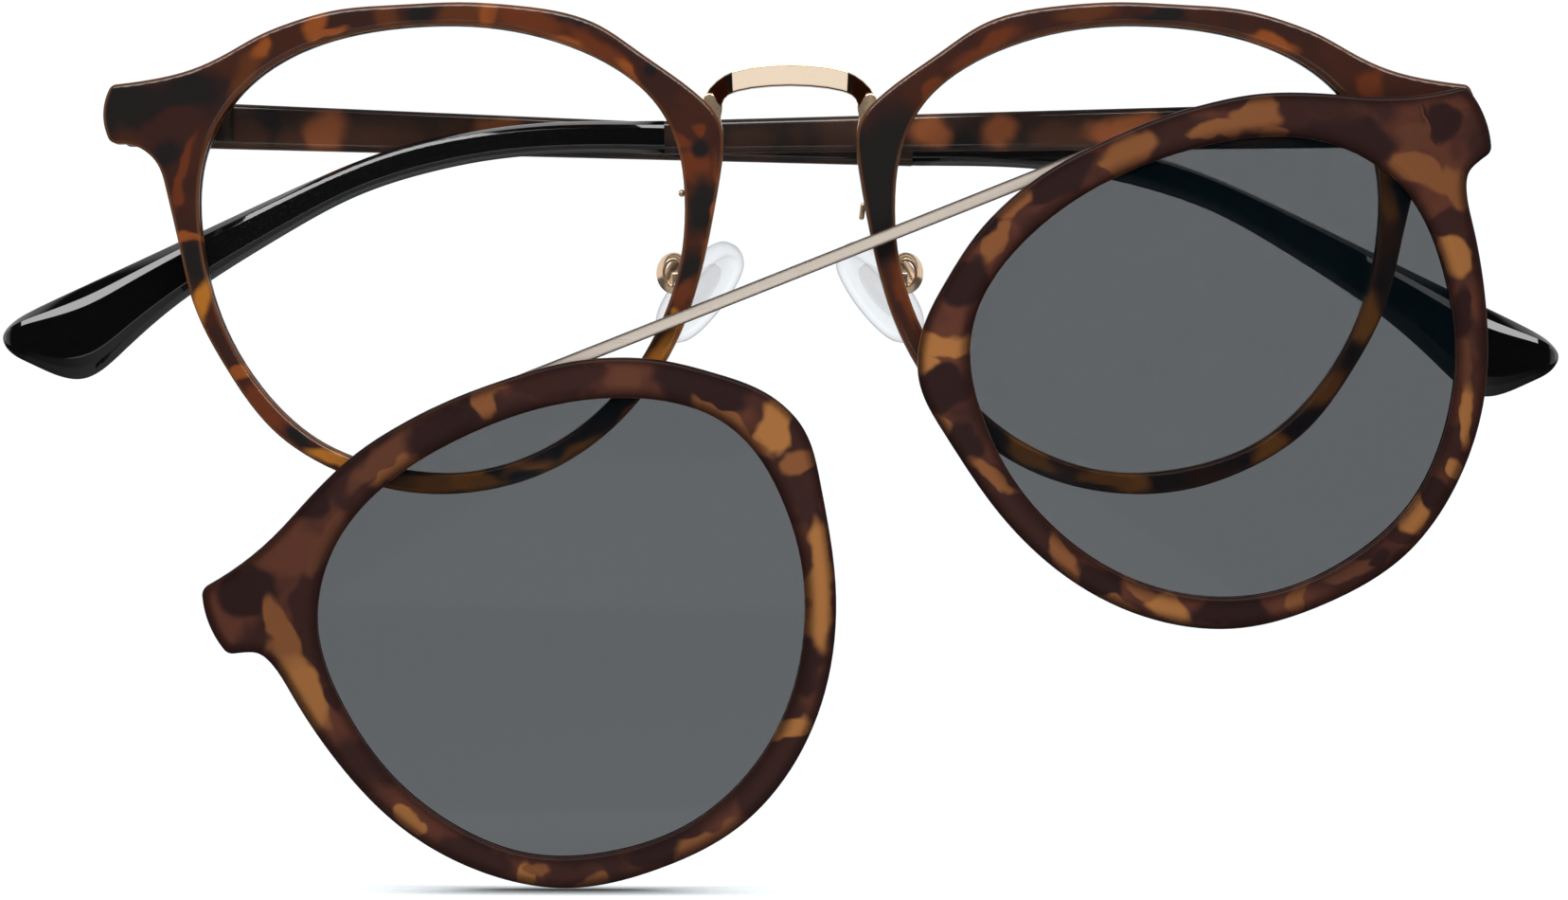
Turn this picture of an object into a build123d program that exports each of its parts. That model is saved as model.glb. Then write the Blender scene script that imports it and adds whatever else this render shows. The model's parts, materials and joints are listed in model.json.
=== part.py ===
from build123d import *
import math
import os

# A pair of glasses and its magnetic clip, in millimetres.
# X runs to the viewer's right, Y from the lenses to the ears, Z up.
# Left and right are as seen from the front; left pieces are drawn, right ones mirrored.
# While drawing, Y 0 is the crown of the front and Z 0 the line of the lens centres.
# The finished pieces are moved so that the origin lies between the nose pads.
# Insets, overhangs and drops are measured from the edges of the lens, unless a note says more.

# Front
lens_pitch = 68.9
lens_width = 48.1
lens_height = 44.4
face_radius = 500.0
front_thickness = 4.4
rim_width = 2.2
rim_rounding = 0.5
end_overhang = 8.95
end_bulge = 0.85
end_drop = 5.8
end_height = 5.9
end_corner = 0.9

# Lenses of the frame
lens_setback = 1.3
lens_thickness = 1.5
groove_depth = 0.7
lens_fit = 0.03

# Bridge
bridge_drop = 4.1
bridge_bar_height = 2.0
bridge_inset = 1.8
bridge_front = 2.3
bridge_bar_depth = 1.9
bridge_sheet = 1.2
bridge_bevel = 0.3
flat_inset = 0.25
flat_fit = 0.03

# Screws that hold the bridge and the pad arms
screw_radius = 0.5
screw_head_radius = 0.8
screw_head_height = 0.4
screw_depth = 3.2
slot_width = 0.25
slot_depth = 0.2
thread_fit = 0.01

# Pad arms
arm_plate_top = 5.8
arm_plate_length = 7.0
arm_plate_width = 3.5
arm_plate_inset = 3.05
arm_screw_drop = 2.0
arm_ribbon = 0.65
arm_ribbon_width = 1.9
arm_standoff = 0.2
arm_loop_inset = 0.9
arm_loop_reach = 3.8
arm_loop_height = 3.5
arm_post_width = 1.3

# Nose pads
pad_length = 11.8
pad_width = 7.2
pad_thickness = 2.2
pad_rounding = 0.85
pad_inset = 1.35
pad_drop = 4.1
pad_depth = 9.6
pad_splay = 50.0
pad_lean = 38.0
insert_thickness = 0.5
insert_length = 6.4
insert_width = 3.6
tongue_width = 1.5
tongue_radius = 0.95
tongue_reach = 2.75
pad_screw_radius = 0.4
pad_screw_head = 0.64
pad_box_wall = 0.45
pad_box_gap = 0.12
pad_box_height = 2.6
pad_box_lip = 0.6
running_fit = 0.04

# Hinges, set in from the end of the front
hinge_drop = 9.3
hinge_inset = 3.05
hinge_setback = 2.5
barrel_radius = 1.25
barrel_count = 5
barrel_height = 0.86
barrel_gap = 0.05
hinge_screw_radius = 0.6
hinge_head_radius = 1.0
hinge_head_height = 0.45
hinge_web = 0.9
hinge_leaf = 0.75
hinge_leaf_length = 4.4
temple_leaf_length = 7.0
temple_leaf_height = 3.42
temple_leaf_start = 1.6
rivet_radius = 0.4
rivet_depth = 1.6
rivet_proud = 0.12
rivet_spread = 1.8

# Magnets, set in from the hinges
magnet_radius = 1.3
magnet_length = 2.0
magnet_inset = 2.4
magnet_skin = 0.7
clip_magnet_length = 1.2
clip_magnet_recess = 0.05

# Temples
temple_thickness = 2.8
temple_inset = 0.75
temple_length = 77.0
temple_head_height = 4.7
temple_seam_height = 3.3
temple_rounding = 0.7
temple_butt_gap = 0.1
temple_pocket_fit = 0.2
tip_length = 66.6
tip_drop = 23.1
tip_rounding = 1.0
core_height = 1.3
core_thickness = 1.0
core_start = 9.5
core_fit = 0.02
left_droop = 1.8
right_droop = 1.1
left_fold_short = 3.0
right_fold_over = 1.2

# Clip, whose lenses are a little smaller and further apart than the frame's
clip_pitch_more = 0.4
clip_lens_less = 0.2
clip_gap = 0.3
clip_thickness = 2.1
clip_rim_width = 3.0
clip_rounding = 0.4
clip_end_overhang = 8.75
clip_end_bulge = 0.65
clip_end_drop = 4.6
clip_end_height = 7.0
clip_end_corner = 1.1
clip_lens_setback = 0.5
clip_lens_thickness = 1.0
clip_groove_depth = 0.6
clip_bar_length = 78.7
clip_bar_height = 1.3
clip_bar_rise = 2.9
clip_bar_recess = 0.08
clip_bar_thickness = 1.1
clip_rivet_inset = 2.2
clip_rivet_spacing = 6.0
clip_rivet_radius = 0.35
clip_rivet_length = 1.6

# The pole that the clip is turned about, out and up from the right hinge
clip_pole_outset = 6.02
clip_pole_rise = 2.75
clip_turn = 21.89

# Cuts run past the faces that they open by this much
overrun = 1.0
edge_slack = 0.02

# Outline of a lens, as shares of its half width and half height, nasal side positive
lens_shares = [
    (0.0, 1.0), (0.29, 0.975), (0.5, 0.915), (0.71, 0.808), (0.875, 0.655), (0.968, 0.46),
    (1.0, 0.22), (0.983, -0.05), (0.895, -0.345), (0.715, -0.645), (0.443, -0.878),
    (0.13, -0.99), (-0.2, -0.975), (-0.51, -0.854), (-0.757, -0.608), (-0.92, -0.3),
    (-0.998, 0.054), (-0.977, 0.441), (-0.778, 0.757), (-0.457, 0.935),
]

# Outer edge of a rim: a place on the lens, then shares of the rim's width out from it
rim_shares = [
    (-1.0, 0.757, -2.0, 0.09), (-0.93, 0.757, -1.2, 0.48), (-0.778, 0.757, -1.25, 1.2),
    (-0.686, 0.829, -0.89, 1.23), (-0.561, 0.896, -0.55, 1.23), (-0.437, 0.944, -0.23, 1.2),
    (-0.166, 0.995, -0.11, 0.95), (0.083, 1.0, 0.0, 1.0), (0.287, 0.975, 0.07, 1.11),
    (0.474, 0.928, 0.27, 1.25), (0.599, 0.872, 0.41, 1.3), (0.748, 0.7725, 0.73, 1.02),
    (0.8815, 0.649, 2.1, 0.16), (0.915, 0.61, 2.27, -0.04), (0.94, 0.55, 2.32, -0.11),
    (0.985, 0.383, 1.84, 0.0), (1.0, 0.18, 1.32, -0.11), (0.979, -0.068, 1.02, -0.14),
    (0.898, -0.351, 0.95, -0.18), (0.705, -0.653, 0.77, -0.66), (0.443, -0.878, 0.5, -0.86),
    (0.129, -0.989, 0.12, -0.95), (-0.202, -0.975, -0.2, -0.95), (-0.403, -0.905, -0.41, -0.84),
    (-0.624, -0.75, -0.64, -0.75), (-0.819, -0.489, -0.82, -0.41), (-0.946, -0.203, -0.93, -0.34),
    (-0.99, 0.02, -1.09, 0.0), (-0.994, 0.27, -1.64, 0.0), (-0.981, 0.383, -2.18, 0.0),
    (-0.981, 0.45, -2.89, 0.0),
]
clip_rim_shares = [
    (-0.9, 0.7, -2.48, 0.89), (-0.85, 0.7, -1.88, 1.18), (-0.778, 0.757, -1.62, 1.09),
    (-0.7, 0.82, -1.08, 1.19), (-0.62, 0.868, -0.72, 1.29), (-0.5, 0.92, -0.41, 1.36),
    (-0.34, 0.966, -0.14, 1.33), (-0.12, 1.0, -0.04, 1.25), (0.12, 0.997, 0.04, 1.24),
    (0.38, 0.95, 0.17, 1.33), (0.54, 0.9, 0.34, 1.27), (0.68, 0.826, 0.68, 1.12),
    (0.79, 0.74, 1.17, 0.78), (0.88, 0.65, 1.73, 0.27), (0.97, 0.46, 1.77, 0.02),
    (1.0, 0.22, 1.38, 0.0), (0.94, -0.19, 1.13, -0.15), (0.79, -0.53, 1.0, -0.45),
    (0.565, -0.79, 0.78, -0.75), (0.3, -0.95, 0.23, -0.98), (-0.04, -1.0, 0.0, -0.92),
    (-0.36, -0.92, -0.4, -1.03), (-0.65, -0.745, -0.58, -0.77), (-0.85, -0.465, -0.95, -0.43),
    (-0.975, -0.13, -1.08, -0.15), (-1.0, 0.2, -1.45, 0.03), (-0.985, 0.36, -1.8, 0.01),
    (-0.975, 0.43, -2.18, 0.0), (-0.97, 0.455, -2.6, 0.0),
]

# Outline of a temple tip, as shares of its length and its drop, upper edge then lower edge
tip_upper_shares = [
    (0.135, -0.078), (0.23, -0.064), (0.345, -0.018), (0.46, 0.075), (0.62, 0.268),
    (0.735, 0.416), (0.85, 0.563), (0.945, 0.685), (0.985, 0.75), (1.0, 0.815),
]
tip_lower_shares = [
    (0.988, 0.88), (0.955, 0.935), (0.885, 1.0), (0.82, 0.885), (0.73, 0.67), (0.581, 0.403),
    (0.46, 0.225), (0.345, 0.126), (0.245, 0.078), (0.13, 0.062),
]

# Outlines of the bridge, as shares of its half span and of the bar's height below its top
arch_upper_shares = [(-0.985, -1.52), (-0.907, -0.9), (-0.71, -0.35), (-0.35, -0.075)]
arch_lower_shares = [(-0.78, -2.1), (-0.733, -1.6), (-0.616, -1.27), (-0.314, -1.075)]
leg_shares = [
    (-0.94, -1.3), (-1.035, -1.95), (-1.093, -3.05), (-1.163, -4.3), (-1.175, -5.35),
    (-1.035, -5.7), (-0.895, -5.35), (-0.8, -4.25), (-0.767, -3.25), (-0.797, -2.45),
    (-0.785, -1.8),
]
leg_screw_shares = [(-0.96, -3.3), (-1.02, -4.7)]
bend_start_share = 0.65
bend_end_share = 0.9

# The rivets of an arm's hinge, as shares of its leaf's length
temple_rivet_shares = (0.3, 0.75)

# Outline of the pad arm's plate, as shares of its width and length from its upper inner corner
arm_plate_shares = [
    (0.5, 0.0), (0.94, -0.02), (1.0, -0.16), (0.93, -0.5), (0.9, -1.0), (0.45, -1.0),
    (0.38, -0.95), (0.06, -0.42), (0.0, -0.08),
]

# Half outline of a nose pad, as shares of its half width and half length
pad_shares = [(0.0, 1.0), (0.6, 0.86), (0.93, 0.4), (1.0, -0.1), (0.86, -0.6), (0.5, -0.91),
              (0.0, -1.0)]

# Middle line of a temple's core inside the tip, as shares of the tip's length and drop
core_shares = [(0.13, 0.0), (0.345, 0.055), (0.46, 0.15), (0.62, 0.335), (0.78, 0.56)]

# Values that follow from the ones above
end_reach = lens_width / 2 + end_overhang
end_top = lens_height / 2 - end_drop
bridge_height = lens_height / 2 - bridge_drop
nasal_edge = (lens_pitch - lens_width) / 2
bridge_half_span = nasal_edge - bridge_inset
arm_plate_inner = nasal_edge - arm_plate_inset
arm_loop_start = nasal_edge - arm_loop_inset
pad_spread = nasal_edge - pad_inset
hinge_height = lens_height / 2 - hinge_drop
hinge_reach = lens_pitch / 2 + end_reach - hinge_inset
magnet_reach = hinge_reach - magnet_inset
clip_pitch = lens_pitch + clip_pitch_more
clip_lens_width = lens_width - clip_lens_less
clip_lens_height = lens_height - clip_lens_less
clip_end_reach = clip_lens_width / 2 + clip_end_overhang
clip_end_top = clip_lens_height / 2 - clip_end_drop
clip_bar_line = clip_lens_height / 2 + clip_bar_rise
clip_pole_reach = hinge_reach + clip_pole_outset
clip_pole_height = hinge_height + clip_pole_rise
rear_radius = face_radius - front_thickness
clip_rear_radius = face_radius + clip_gap
clip_front_radius = clip_rear_radius + clip_thickness
ball_centre = Vector(0, face_radius, 0)
stack_height = barrel_count * barrel_height + (barrel_count - 1) * barrel_gap


def depth_at(radius, x, z):
    """How far back a ball of this radius about the common centre lies at x, z."""
    return face_radius - math.sqrt(radius**2 - x**2 - z**2)


leaf_inner_x = hinge_reach + barrel_radius / 2 - hinge_leaf_length
seat_y = depth_at(rear_radius, leaf_inner_x, hinge_height)
hinge_y = seat_y + hinge_setback
nasal_flat_y = front_thickness - flat_inset


def ball(radius):
    return Pos(0, face_radius, 0) * Sphere(radius)


def prism(sketch, near, far):
    """A front view outline, run from one depth to another."""
    placed = Plane.XZ.offset(-near) * sketch
    return extrude(placed, amount=near - far)


def shell_prism(sketch, outer_radius, inner_radius):
    """A front view outline cut from the shell between two balls."""
    far = depth_at(inner_radius, hinge_reach + end_reach, lens_height)
    near = depth_at(outer_radius, 0, 0) - overrun
    return prism(sketch, near, far) & ball(outer_radius) - ball(inner_radius)


def mirrored(shape):
    return mirror(shape, about=Plane.YZ)


def front_plane(x, z, radius):
    """A plane square to the front, at x, z on the ball of this radius, facing outwards."""
    place = Vector(x, depth_at(radius, x, z), z)
    return Plane(origin=place, z_dir=place - ball_centre)


def edges_on(solid, radius):
    """The edges that lie on the ball of this radius."""
    found = []
    for edge in solid.edges():
        middle = edge @ 0.5
        if abs((middle - ball_centre).length - radius) < edge_slack:
            found.append(edge)
    return found


def lens_outline(width, height, lip):
    points = [(x * (width / 2 + lip), z * (height / 2 + lip)) for x, z in lens_shares]
    return make_face(Spline(*points, periodic=True))


def rim_outline(shares, width, height, rim, reach, bulge, top, end_tall, corner):
    run = [(-reach, top)]
    for lens_x, lens_z, out_x, out_z in shares:
        run.append((lens_x * width / 2 + out_x * rim, lens_z * height / 2 + out_z * rim))
    run.append((-reach, top - end_tall))
    side = Spline(*run)
    end = ThreePointArc(run[-1], (-reach - bulge, top - end_tall / 2), run[0])
    face = make_face([side, end])
    return fillet(face.vertices(), corner)


def shank(radius, length):
    """A pin from the plane down to a depth."""
    return Cylinder(radius, length, align=(Align.CENTER, Align.CENTER, Align.MAX))


def stud(radius, length):
    """A pin that stands up from the plane."""
    return Cylinder(radius, length, align=(Align.CENTER, Align.CENTER, Align.MIN))


def slotted_screw(radius, head_radius, head_height, depth):
    """A screw whose head stands on the plane and whose shank goes below it."""
    slot = Pos(0, 0, head_height) * Box(2 * head_radius + overrun, slot_width, 2 * slot_depth)
    return shank(radius, depth) + stud(head_radius, head_height) - slot


def band(points, width):
    """A strip of even width along a line of points."""
    upper = []
    lower = []
    for index, (x, z) in enumerate(points):
        before = points[max(index - 1, 0)]
        after = points[min(index + 1, len(points) - 1)]
        run = math.hypot(after[0] - before[0], after[1] - before[1])
        side_x = -(after[1] - before[1]) / run * width / 2
        side_z = (after[0] - before[0]) / run * width / 2
        upper.append((x + side_x, z + side_z))
        lower.append((x - side_x, z - side_z))
    return make_face(Polyline(*upper, *reversed(lower), close=True))


# Rims and lenses

def lens_solid(width, height, lip, pitch, outer_radius, thickness):
    outline = Pos(-pitch / 2, 0) * lens_outline(width, height, lip)
    return shell_prism(outline, outer_radius, outer_radius - thickness)


def bridge_points(shares):
    return [(x * bridge_half_span, bridge_height + z * bridge_bar_height) for x, z in shares]


def grown(points, gap):
    """The points of a closed outline drawn against the clock, each moved out by a gap."""
    moved = []
    for index, (x, z) in enumerate(points):
        before = points[index - 1]
        after = points[(index + 1) % len(points)]
        run = math.hypot(after[0] - before[0], after[1] - before[1])
        moved.append((x + (after[1] - before[1]) / run * gap,
                      z - (after[0] - before[0]) / run * gap))
    return moved


def leg_outline(gap):
    return make_face(Spline(*grown(bridge_points(leg_shares), gap), periodic=True))


def arm_plate_points():
    points = []
    for out_share, up_share in arm_plate_shares:
        x = -arm_plate_inner - out_share * arm_plate_width
        points.append((x, arm_plate_top + up_share * arm_plate_length))
    return points


def arm_plate_outline(gap):
    return make_face(Polyline(*grown(arm_plate_points(), gap), close=True))


def bridge_screw_planes():
    """Where the left leg's two screws sit, facing the ears."""
    planes = []
    for x, z in bridge_points(leg_screw_shares):
        planes.append(Plane(origin=(x, nasal_flat_y + bridge_sheet, z), z_dir=(0, 1, 0)))
    return planes


def arm_screw_plane():
    x = -arm_plate_inner - arm_plate_width / 2
    z = arm_plate_top - arm_screw_drop
    return Plane(origin=(x, nasal_flat_y + bridge_sheet, z), z_dir=(0, 1, 0))


def rivet_planes():
    """Where the left front leaf's two rivets sit, facing the ears."""
    planes = []
    for side in (-1, 1):
        place = (-magnet_reach, seat_y + hinge_leaf, hinge_height + side * rivet_spread)
        planes.append(Plane(origin=place, z_dir=(0, 1, 0)))
    return planes


def magnet_place():
    """Deepest point of the left magnet's pocket in the frame, facing the ears."""
    near = depth_at(face_radius, magnet_reach, hinge_height) + magnet_skin
    return Plane(origin=(-magnet_reach, near, hinge_height), z_dir=(0, 1, 0))


def build_rim():
    """The left rim with its end piece, lens groove, flats and pockets."""
    outline = rim_outline(rim_shares, lens_width, lens_height, rim_width, end_reach, end_bulge,
                          end_top, end_height, end_corner)
    outline -= lens_outline(lens_width, lens_height, 0)
    rim = shell_prism(Pos(-lens_pitch / 2, 0) * outline, face_radius, rear_radius)
    rim = fillet(edges_on(rim, face_radius) + edges_on(rim, rear_radius), rim_rounding)
    rim -= lens_solid(lens_width, lens_height, groove_depth, lens_pitch,
                      face_radius - lens_setback, lens_thickness)
    far = seat_y + front_thickness
    rim -= prism(leg_outline(flat_fit), nasal_flat_y, far)
    rim -= prism(arm_plate_outline(flat_fit), nasal_flat_y, far)
    seat_width = hinge_reach + end_reach - leaf_inner_x
    seat = Pos(-leaf_inner_x - seat_width / 2, hinge_height) * Rectangle(seat_width, end_reach)
    rim -= prism(seat, seat_y, far)
    for plane in bridge_screw_planes() + [arm_screw_plane()]:
        rim -= plane * shank(screw_radius + thread_fit, screw_depth)
    rim -= magnet_place() * stud(magnet_radius, seat_y)
    for plane in rivet_planes():
        rim -= plane * shank(rivet_radius, hinge_leaf + rivet_depth)
    return rim


def build_lens():
    """The left lens, whose rim sits in the groove."""
    return lens_solid(lens_width, lens_height, groove_depth - lens_fit, lens_pitch,
                      face_radius - lens_setback, lens_thickness)


def build_magnet():
    return magnet_place() * stud(magnet_radius, magnet_length)


# Bridge

def build_bridge():
    """An arched bar that bends back at both ends into a leg behind each rim."""
    upper = bridge_points(arch_upper_shares)
    lower = bridge_points(arch_lower_shares)
    top = (0, bridge_height)
    under = (0, bridge_height - bridge_bar_height)
    upper_run = upper + [top] + [(-x, z) for x, z in reversed(upper)]
    lower_run = lower + [under] + [(-x, z) for x, z in reversed(lower)]
    edges = [Spline(*upper_run), Line(upper_run[-1], lower_run[-1]), Spline(*lower_run),
             Line(lower_run[0], upper_run[0])]
    rear_y = nasal_flat_y + bridge_sheet
    arch = prism(make_face(edges), 0, rear_y)
    bend = bend_start_share * bridge_half_span
    end = bend_end_share * bridge_half_span
    back_y = bridge_front + bridge_bar_depth
    near_side = [(-bridge_half_span, nasal_flat_y), (-end, nasal_flat_y), (-bend, bridge_front)]
    far_side = [(-bend, back_y), (-end, rear_y), (-bridge_half_span, rear_y)]
    plan = near_side + [(-x, y) for x, y in reversed(near_side)]
    plan += [(-x, y) for x, y in reversed(far_side)] + far_side
    arch &= extrude(make_face(Polyline(*plan, close=True)), amount=bridge_height + overrun)
    front_edges = arch.edges().filter_by_position(Axis.Y, bridge_front, bridge_front)
    arch = chamfer(front_edges.filter_by(Axis.Z, reverse=True), bridge_bevel)
    leg = prism(leg_outline(0), nasal_flat_y, rear_y)
    for plane in bridge_screw_planes():
        leg -= plane * shank(screw_radius + thread_fit, screw_depth)
    return arch + leg + mirrored(leg)


def build_bridge_screws():
    screws = []
    for plane in bridge_screw_planes():
        part = plane * slotted_screw(screw_radius, screw_head_radius, screw_head_height,
                                     screw_depth)
        screws += [part, mirrored(part)]
    return screws


# Pad arms and nose pads

def pad_place():
    """The left pad's own frame: Y out of its face, Z along it, X across it."""
    lean = Rot(0, pad_lean, 0)
    splay = Rot(0, 0, -pad_splay)
    return Pos(-pad_spread, pad_depth, -pad_drop) * lean * splay


def across(shape):
    """Turns a shape drawn along Z to lie along X."""
    return Rot(0, 90, 0) * shape


def build_pad_arm():
    """A plate behind the rim, a ribbon loop beside the lens and a box for the pad's tongue."""
    rear_y = nasal_flat_y + bridge_sheet
    plate = prism(arm_plate_outline(0), nasal_flat_y, rear_y)
    plate -= arm_screw_plane() * shank(screw_radius + thread_fit, screw_depth)
    outer = arm_loop_height / 2
    low = arm_plate_top - arm_plate_length
    middle_z = low + arm_ribbon - outer
    centre_x = -arm_loop_start - arm_loop_reach + outer
    straight = arm_loop_reach - outer
    loop = Pos(centre_x, middle_z) * Circle(outer)
    loop += Pos(centre_x + straight / 2, middle_z) * Rectangle(straight, arm_loop_height)
    inner = outer - arm_ribbon
    hole = Pos(centre_x, middle_z) * Circle(inner)
    hole += Pos(centre_x + straight, middle_z) * Rectangle(2 * straight, 2 * inner)
    near = depth_at(rear_radius, arm_loop_start, middle_z) + arm_standoff
    arm = plate + prism(loop - hole, near, near + arm_ribbon_width)
    box_half = tongue_width / 2 + pad_box_gap + pad_box_wall
    back = tongue_reach + tongue_radius + pad_box_gap
    front = tongue_reach - pad_box_lip
    block = Pos(0, -(back + pad_box_wall + front) / 2, 0) * Box(
        2 * box_half, back + pad_box_wall - front, pad_box_height)
    block = fillet(block.edges().filter_by(Axis.X), pad_box_wall)
    post_z = middle_z - outer + arm_post_width / 2
    place = pad_place()
    base = (place * Pos(0, -back, 0)).position
    post_y = (near + base.Y) / 2
    post_x = base.X
    post = Pos(post_x, post_y, (post_z + base.Z) / 2) * Box(
        arm_post_width, base.Y - near, abs(base.Z - post_z) + arm_post_width)
    arm += post
    arm += place * block
    swing = tongue_radius + pad_box_gap
    room = across(Cylinder(swing, tongue_width + 2 * pad_box_gap))
    room += Pos(0, tongue_reach / 2, 0) * Box(tongue_width + 2 * pad_box_gap, tongue_reach,
                                              pad_box_height + overrun)
    arm -= place * Pos(0, -tongue_reach, 0) * room
    arm -= place * Pos(0, -tongue_reach, 0) * across(Cylinder(pad_screw_radius + thread_fit,
                                                              2 * box_half + overrun))
    return arm


def build_arm_screws():
    part = arm_screw_plane() * slotted_screw(screw_radius, screw_head_radius,
                                             screw_head_height, screw_depth)
    return [part, mirrored(part)]


def build_pad_screw():
    half = tongue_width / 2 + pad_box_gap + pad_box_wall
    part = slotted_screw(pad_screw_radius, pad_screw_head, screw_head_height, 2 * half)
    return pad_place() * Pos(-half, -tongue_reach, 0) * Rot(0, -90, 0) * part


def insert_solid(bore):
    """The stiff plate inside a pad and the tongue behind it."""
    plate = Pos(0, 0) * Ellipse(insert_width / 2, insert_length / 2)
    plate = prism(plate, -insert_thickness, 0)
    tongue = Pos(0, -tongue_reach / 2, 0) * Box(tongue_width, tongue_reach, 2 * tongue_radius)
    tongue += Pos(0, -tongue_reach, 0) * across(Cylinder(tongue_radius, tongue_width))
    insert = plate + tongue
    if bore:
        insert -= Pos(0, -tongue_reach, 0) * across(Cylinder(bore, 2 * tongue_width))
    return insert


def build_pad():
    """A soft clear pad moulded round its insert."""
    half = [(x * pad_width / 2, z * pad_length / 2) for x, z in pad_shares]
    points = half + [(-x, z) for x, z in reversed(half[1:-1])]
    pad = prism(make_face(Spline(*points, periodic=True)), -pad_thickness / 2,
                pad_thickness / 2)
    faces = pad.faces().filter_by(Axis.Y)
    pad = fillet(faces.edges(), pad_rounding)
    return pad_place() * (pad - insert_solid(0))


def build_pad_insert():
    return pad_place() * insert_solid(pad_screw_radius + running_fit)


# Hinges

def barrel(index, bore):
    """One barrel of the stack, about the hinge axis."""
    low = -stack_height / 2 + index * (barrel_height + barrel_gap)
    ring = Pos(0, 0, low) * (stud(barrel_radius, barrel_height) - stud(bore, barrel_height))
    return ring


def web(index, near_x, far_x, near_y, far_y, bore):
    """The neck that joins one barrel to its leaf."""
    low = -stack_height / 2 + index * (barrel_height + barrel_gap)
    neck = Pos((near_x + far_x) / 2, (near_y + far_y) / 2, low) * Box(
        far_x - near_x, far_y - near_y, barrel_height,
        align=(Align.CENTER, Align.CENTER, Align.MIN))
    return neck - Pos(0, 0, low) * stud(bore, barrel_height)


def hinge_place():
    return Pos(-hinge_reach, hinge_y, hinge_height)


def build_front_hinge():
    """The leaf behind the end piece, its root in the magnet's pocket and its barrels."""
    bore = hinge_screw_radius + thread_fit
    left = -barrel_radius / 2
    right = left + hinge_leaf_length
    near = -hinge_setback
    leaf = Pos((left + right) / 2, near + hinge_leaf / 2, 0) * Box(
        hinge_leaf_length, hinge_leaf, stack_height)
    for index in range(0, barrel_count, 2):
        leaf += barrel(index, bore)
        leaf += web(index, -hinge_web / 2, hinge_web / 2, near, 0, bore)
    leaf = hinge_place() * leaf
    magnet_end = magnet_place().origin.Y + magnet_length
    root = Plane(origin=(-magnet_reach, magnet_end, hinge_height), z_dir=(0, 1, 0))
    leaf += root * stud(magnet_radius, seat_y + hinge_leaf / 2 - magnet_end)
    for plane in rivet_planes():
        leaf -= plane * shank(rivet_radius, hinge_leaf + rivet_depth)
    return leaf


def build_hinge_screw():
    length = stack_height
    part = slotted_screw(hinge_screw_radius, hinge_head_radius, hinge_head_height, length)
    return hinge_place() * Pos(0, 0, length / 2) * part


def build_front_rivets():
    rivets = []
    for plane in rivet_planes():
        part = plane * (shank(rivet_radius, hinge_leaf + rivet_depth)
                        + stud(rivet_radius, rivet_proud))
        rivets += [part, mirrored(part)]
    return rivets


# Temples, drawn folded along X from the hinge axis, inner face towards the front

def temple_rivet_places():
    """Where an arm's two hinge rivets sit, facing the front when it is folded."""
    places = []
    for share in temple_rivet_shares:
        x = temple_leaf_start + share * temple_leaf_length
        places.append(Plane(origin=(x, temple_inset - hinge_leaf, 0), z_dir=(0, -1, 0)))
    return places


def build_temple_hinge(droop):
    """The leaf on an arm's inner face and its barrels, drilled for an arm that droops."""
    bore = hinge_screw_radius + running_fit
    near = temple_inset - hinge_leaf
    leaf = Pos(temple_leaf_start + temple_leaf_length / 2, near + hinge_leaf / 2, 0) * Box(
        temple_leaf_length, hinge_leaf, temple_leaf_height)
    for index in range(1, barrel_count, 2):
        leaf += barrel(index, bore)
        leaf += web(index, 0, temple_leaf_start, near, temple_inset, bore)
    for plane in temple_rivet_places():
        leaf -= Rot(0, droop, 0) * (plane * shank(rivet_radius, hinge_leaf + rivet_depth))
    return leaf


def build_temple_rivets():
    rivets = []
    for plane in temple_rivet_places():
        rivets.append(plane * (shank(rivet_radius, hinge_leaf + rivet_depth)
                               + stud(rivet_radius, rivet_proud)))
    return rivets


def core_solid(gap):
    points = [(core_start, 0)]
    points += [(temple_length + x * tip_length, -z * tip_drop) for x, z in core_shares]
    middle = temple_inset + temple_thickness / 2
    half = core_thickness / 2 + gap
    return prism(band(points, core_height + 2 * gap), middle - half, middle + half)


def build_temple():
    """The arm from the hinge to the seam, with a pocket for the front's barrels."""
    butt = -hinge_setback + temple_butt_gap
    points = [(butt, temple_head_height / 2), (temple_length, temple_seam_height / 2),
              (temple_length, -temple_seam_height / 2), (butt, -temple_head_height / 2)]
    outline = make_face(Polyline(*points, close=True))
    outline = fillet(outline.vertices().group_by(Axis.X)[0], temple_rounding)
    arm = prism(outline, temple_inset, temple_inset + temple_thickness)
    seam = arm.edges().filter_by_position(Axis.X, temple_length, temple_length)
    sides = arm.edges().filter_by(Axis.Y, reverse=True)
    arm = fillet([edge for edge in sides if edge not in seam], temple_rounding)
    arm -= Cylinder(barrel_radius + temple_pocket_fit, 2 * temple_head_height)
    arm -= core_solid(core_fit)
    for plane in temple_rivet_places():
        arm -= plane * shank(rivet_radius, hinge_leaf + rivet_depth)
    return arm


def build_tip():
    """The curved tip beyond the seam."""
    upper = [(temple_length + x * tip_length, -z * tip_drop) for x, z in tip_upper_shares]
    lower = [(temple_length + x * tip_length, -z * tip_drop) for x, z in tip_lower_shares]
    first = (temple_length, temple_seam_height / 2)
    last = (temple_length, -temple_seam_height / 2)
    outline = make_face([Spline(first, *upper, *lower, last), Line(last, first)])
    tip = prism(outline, temple_inset, temple_inset + temple_thickness)
    seam = tip.edges().filter_by_position(Axis.X, temple_length, temple_length)
    sides = tip.edges().filter_by(Axis.Y, reverse=True)
    tip = fillet([edge for edge in sides if edge not in seam], tip_rounding)
    return tip - core_solid(core_fit)


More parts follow.
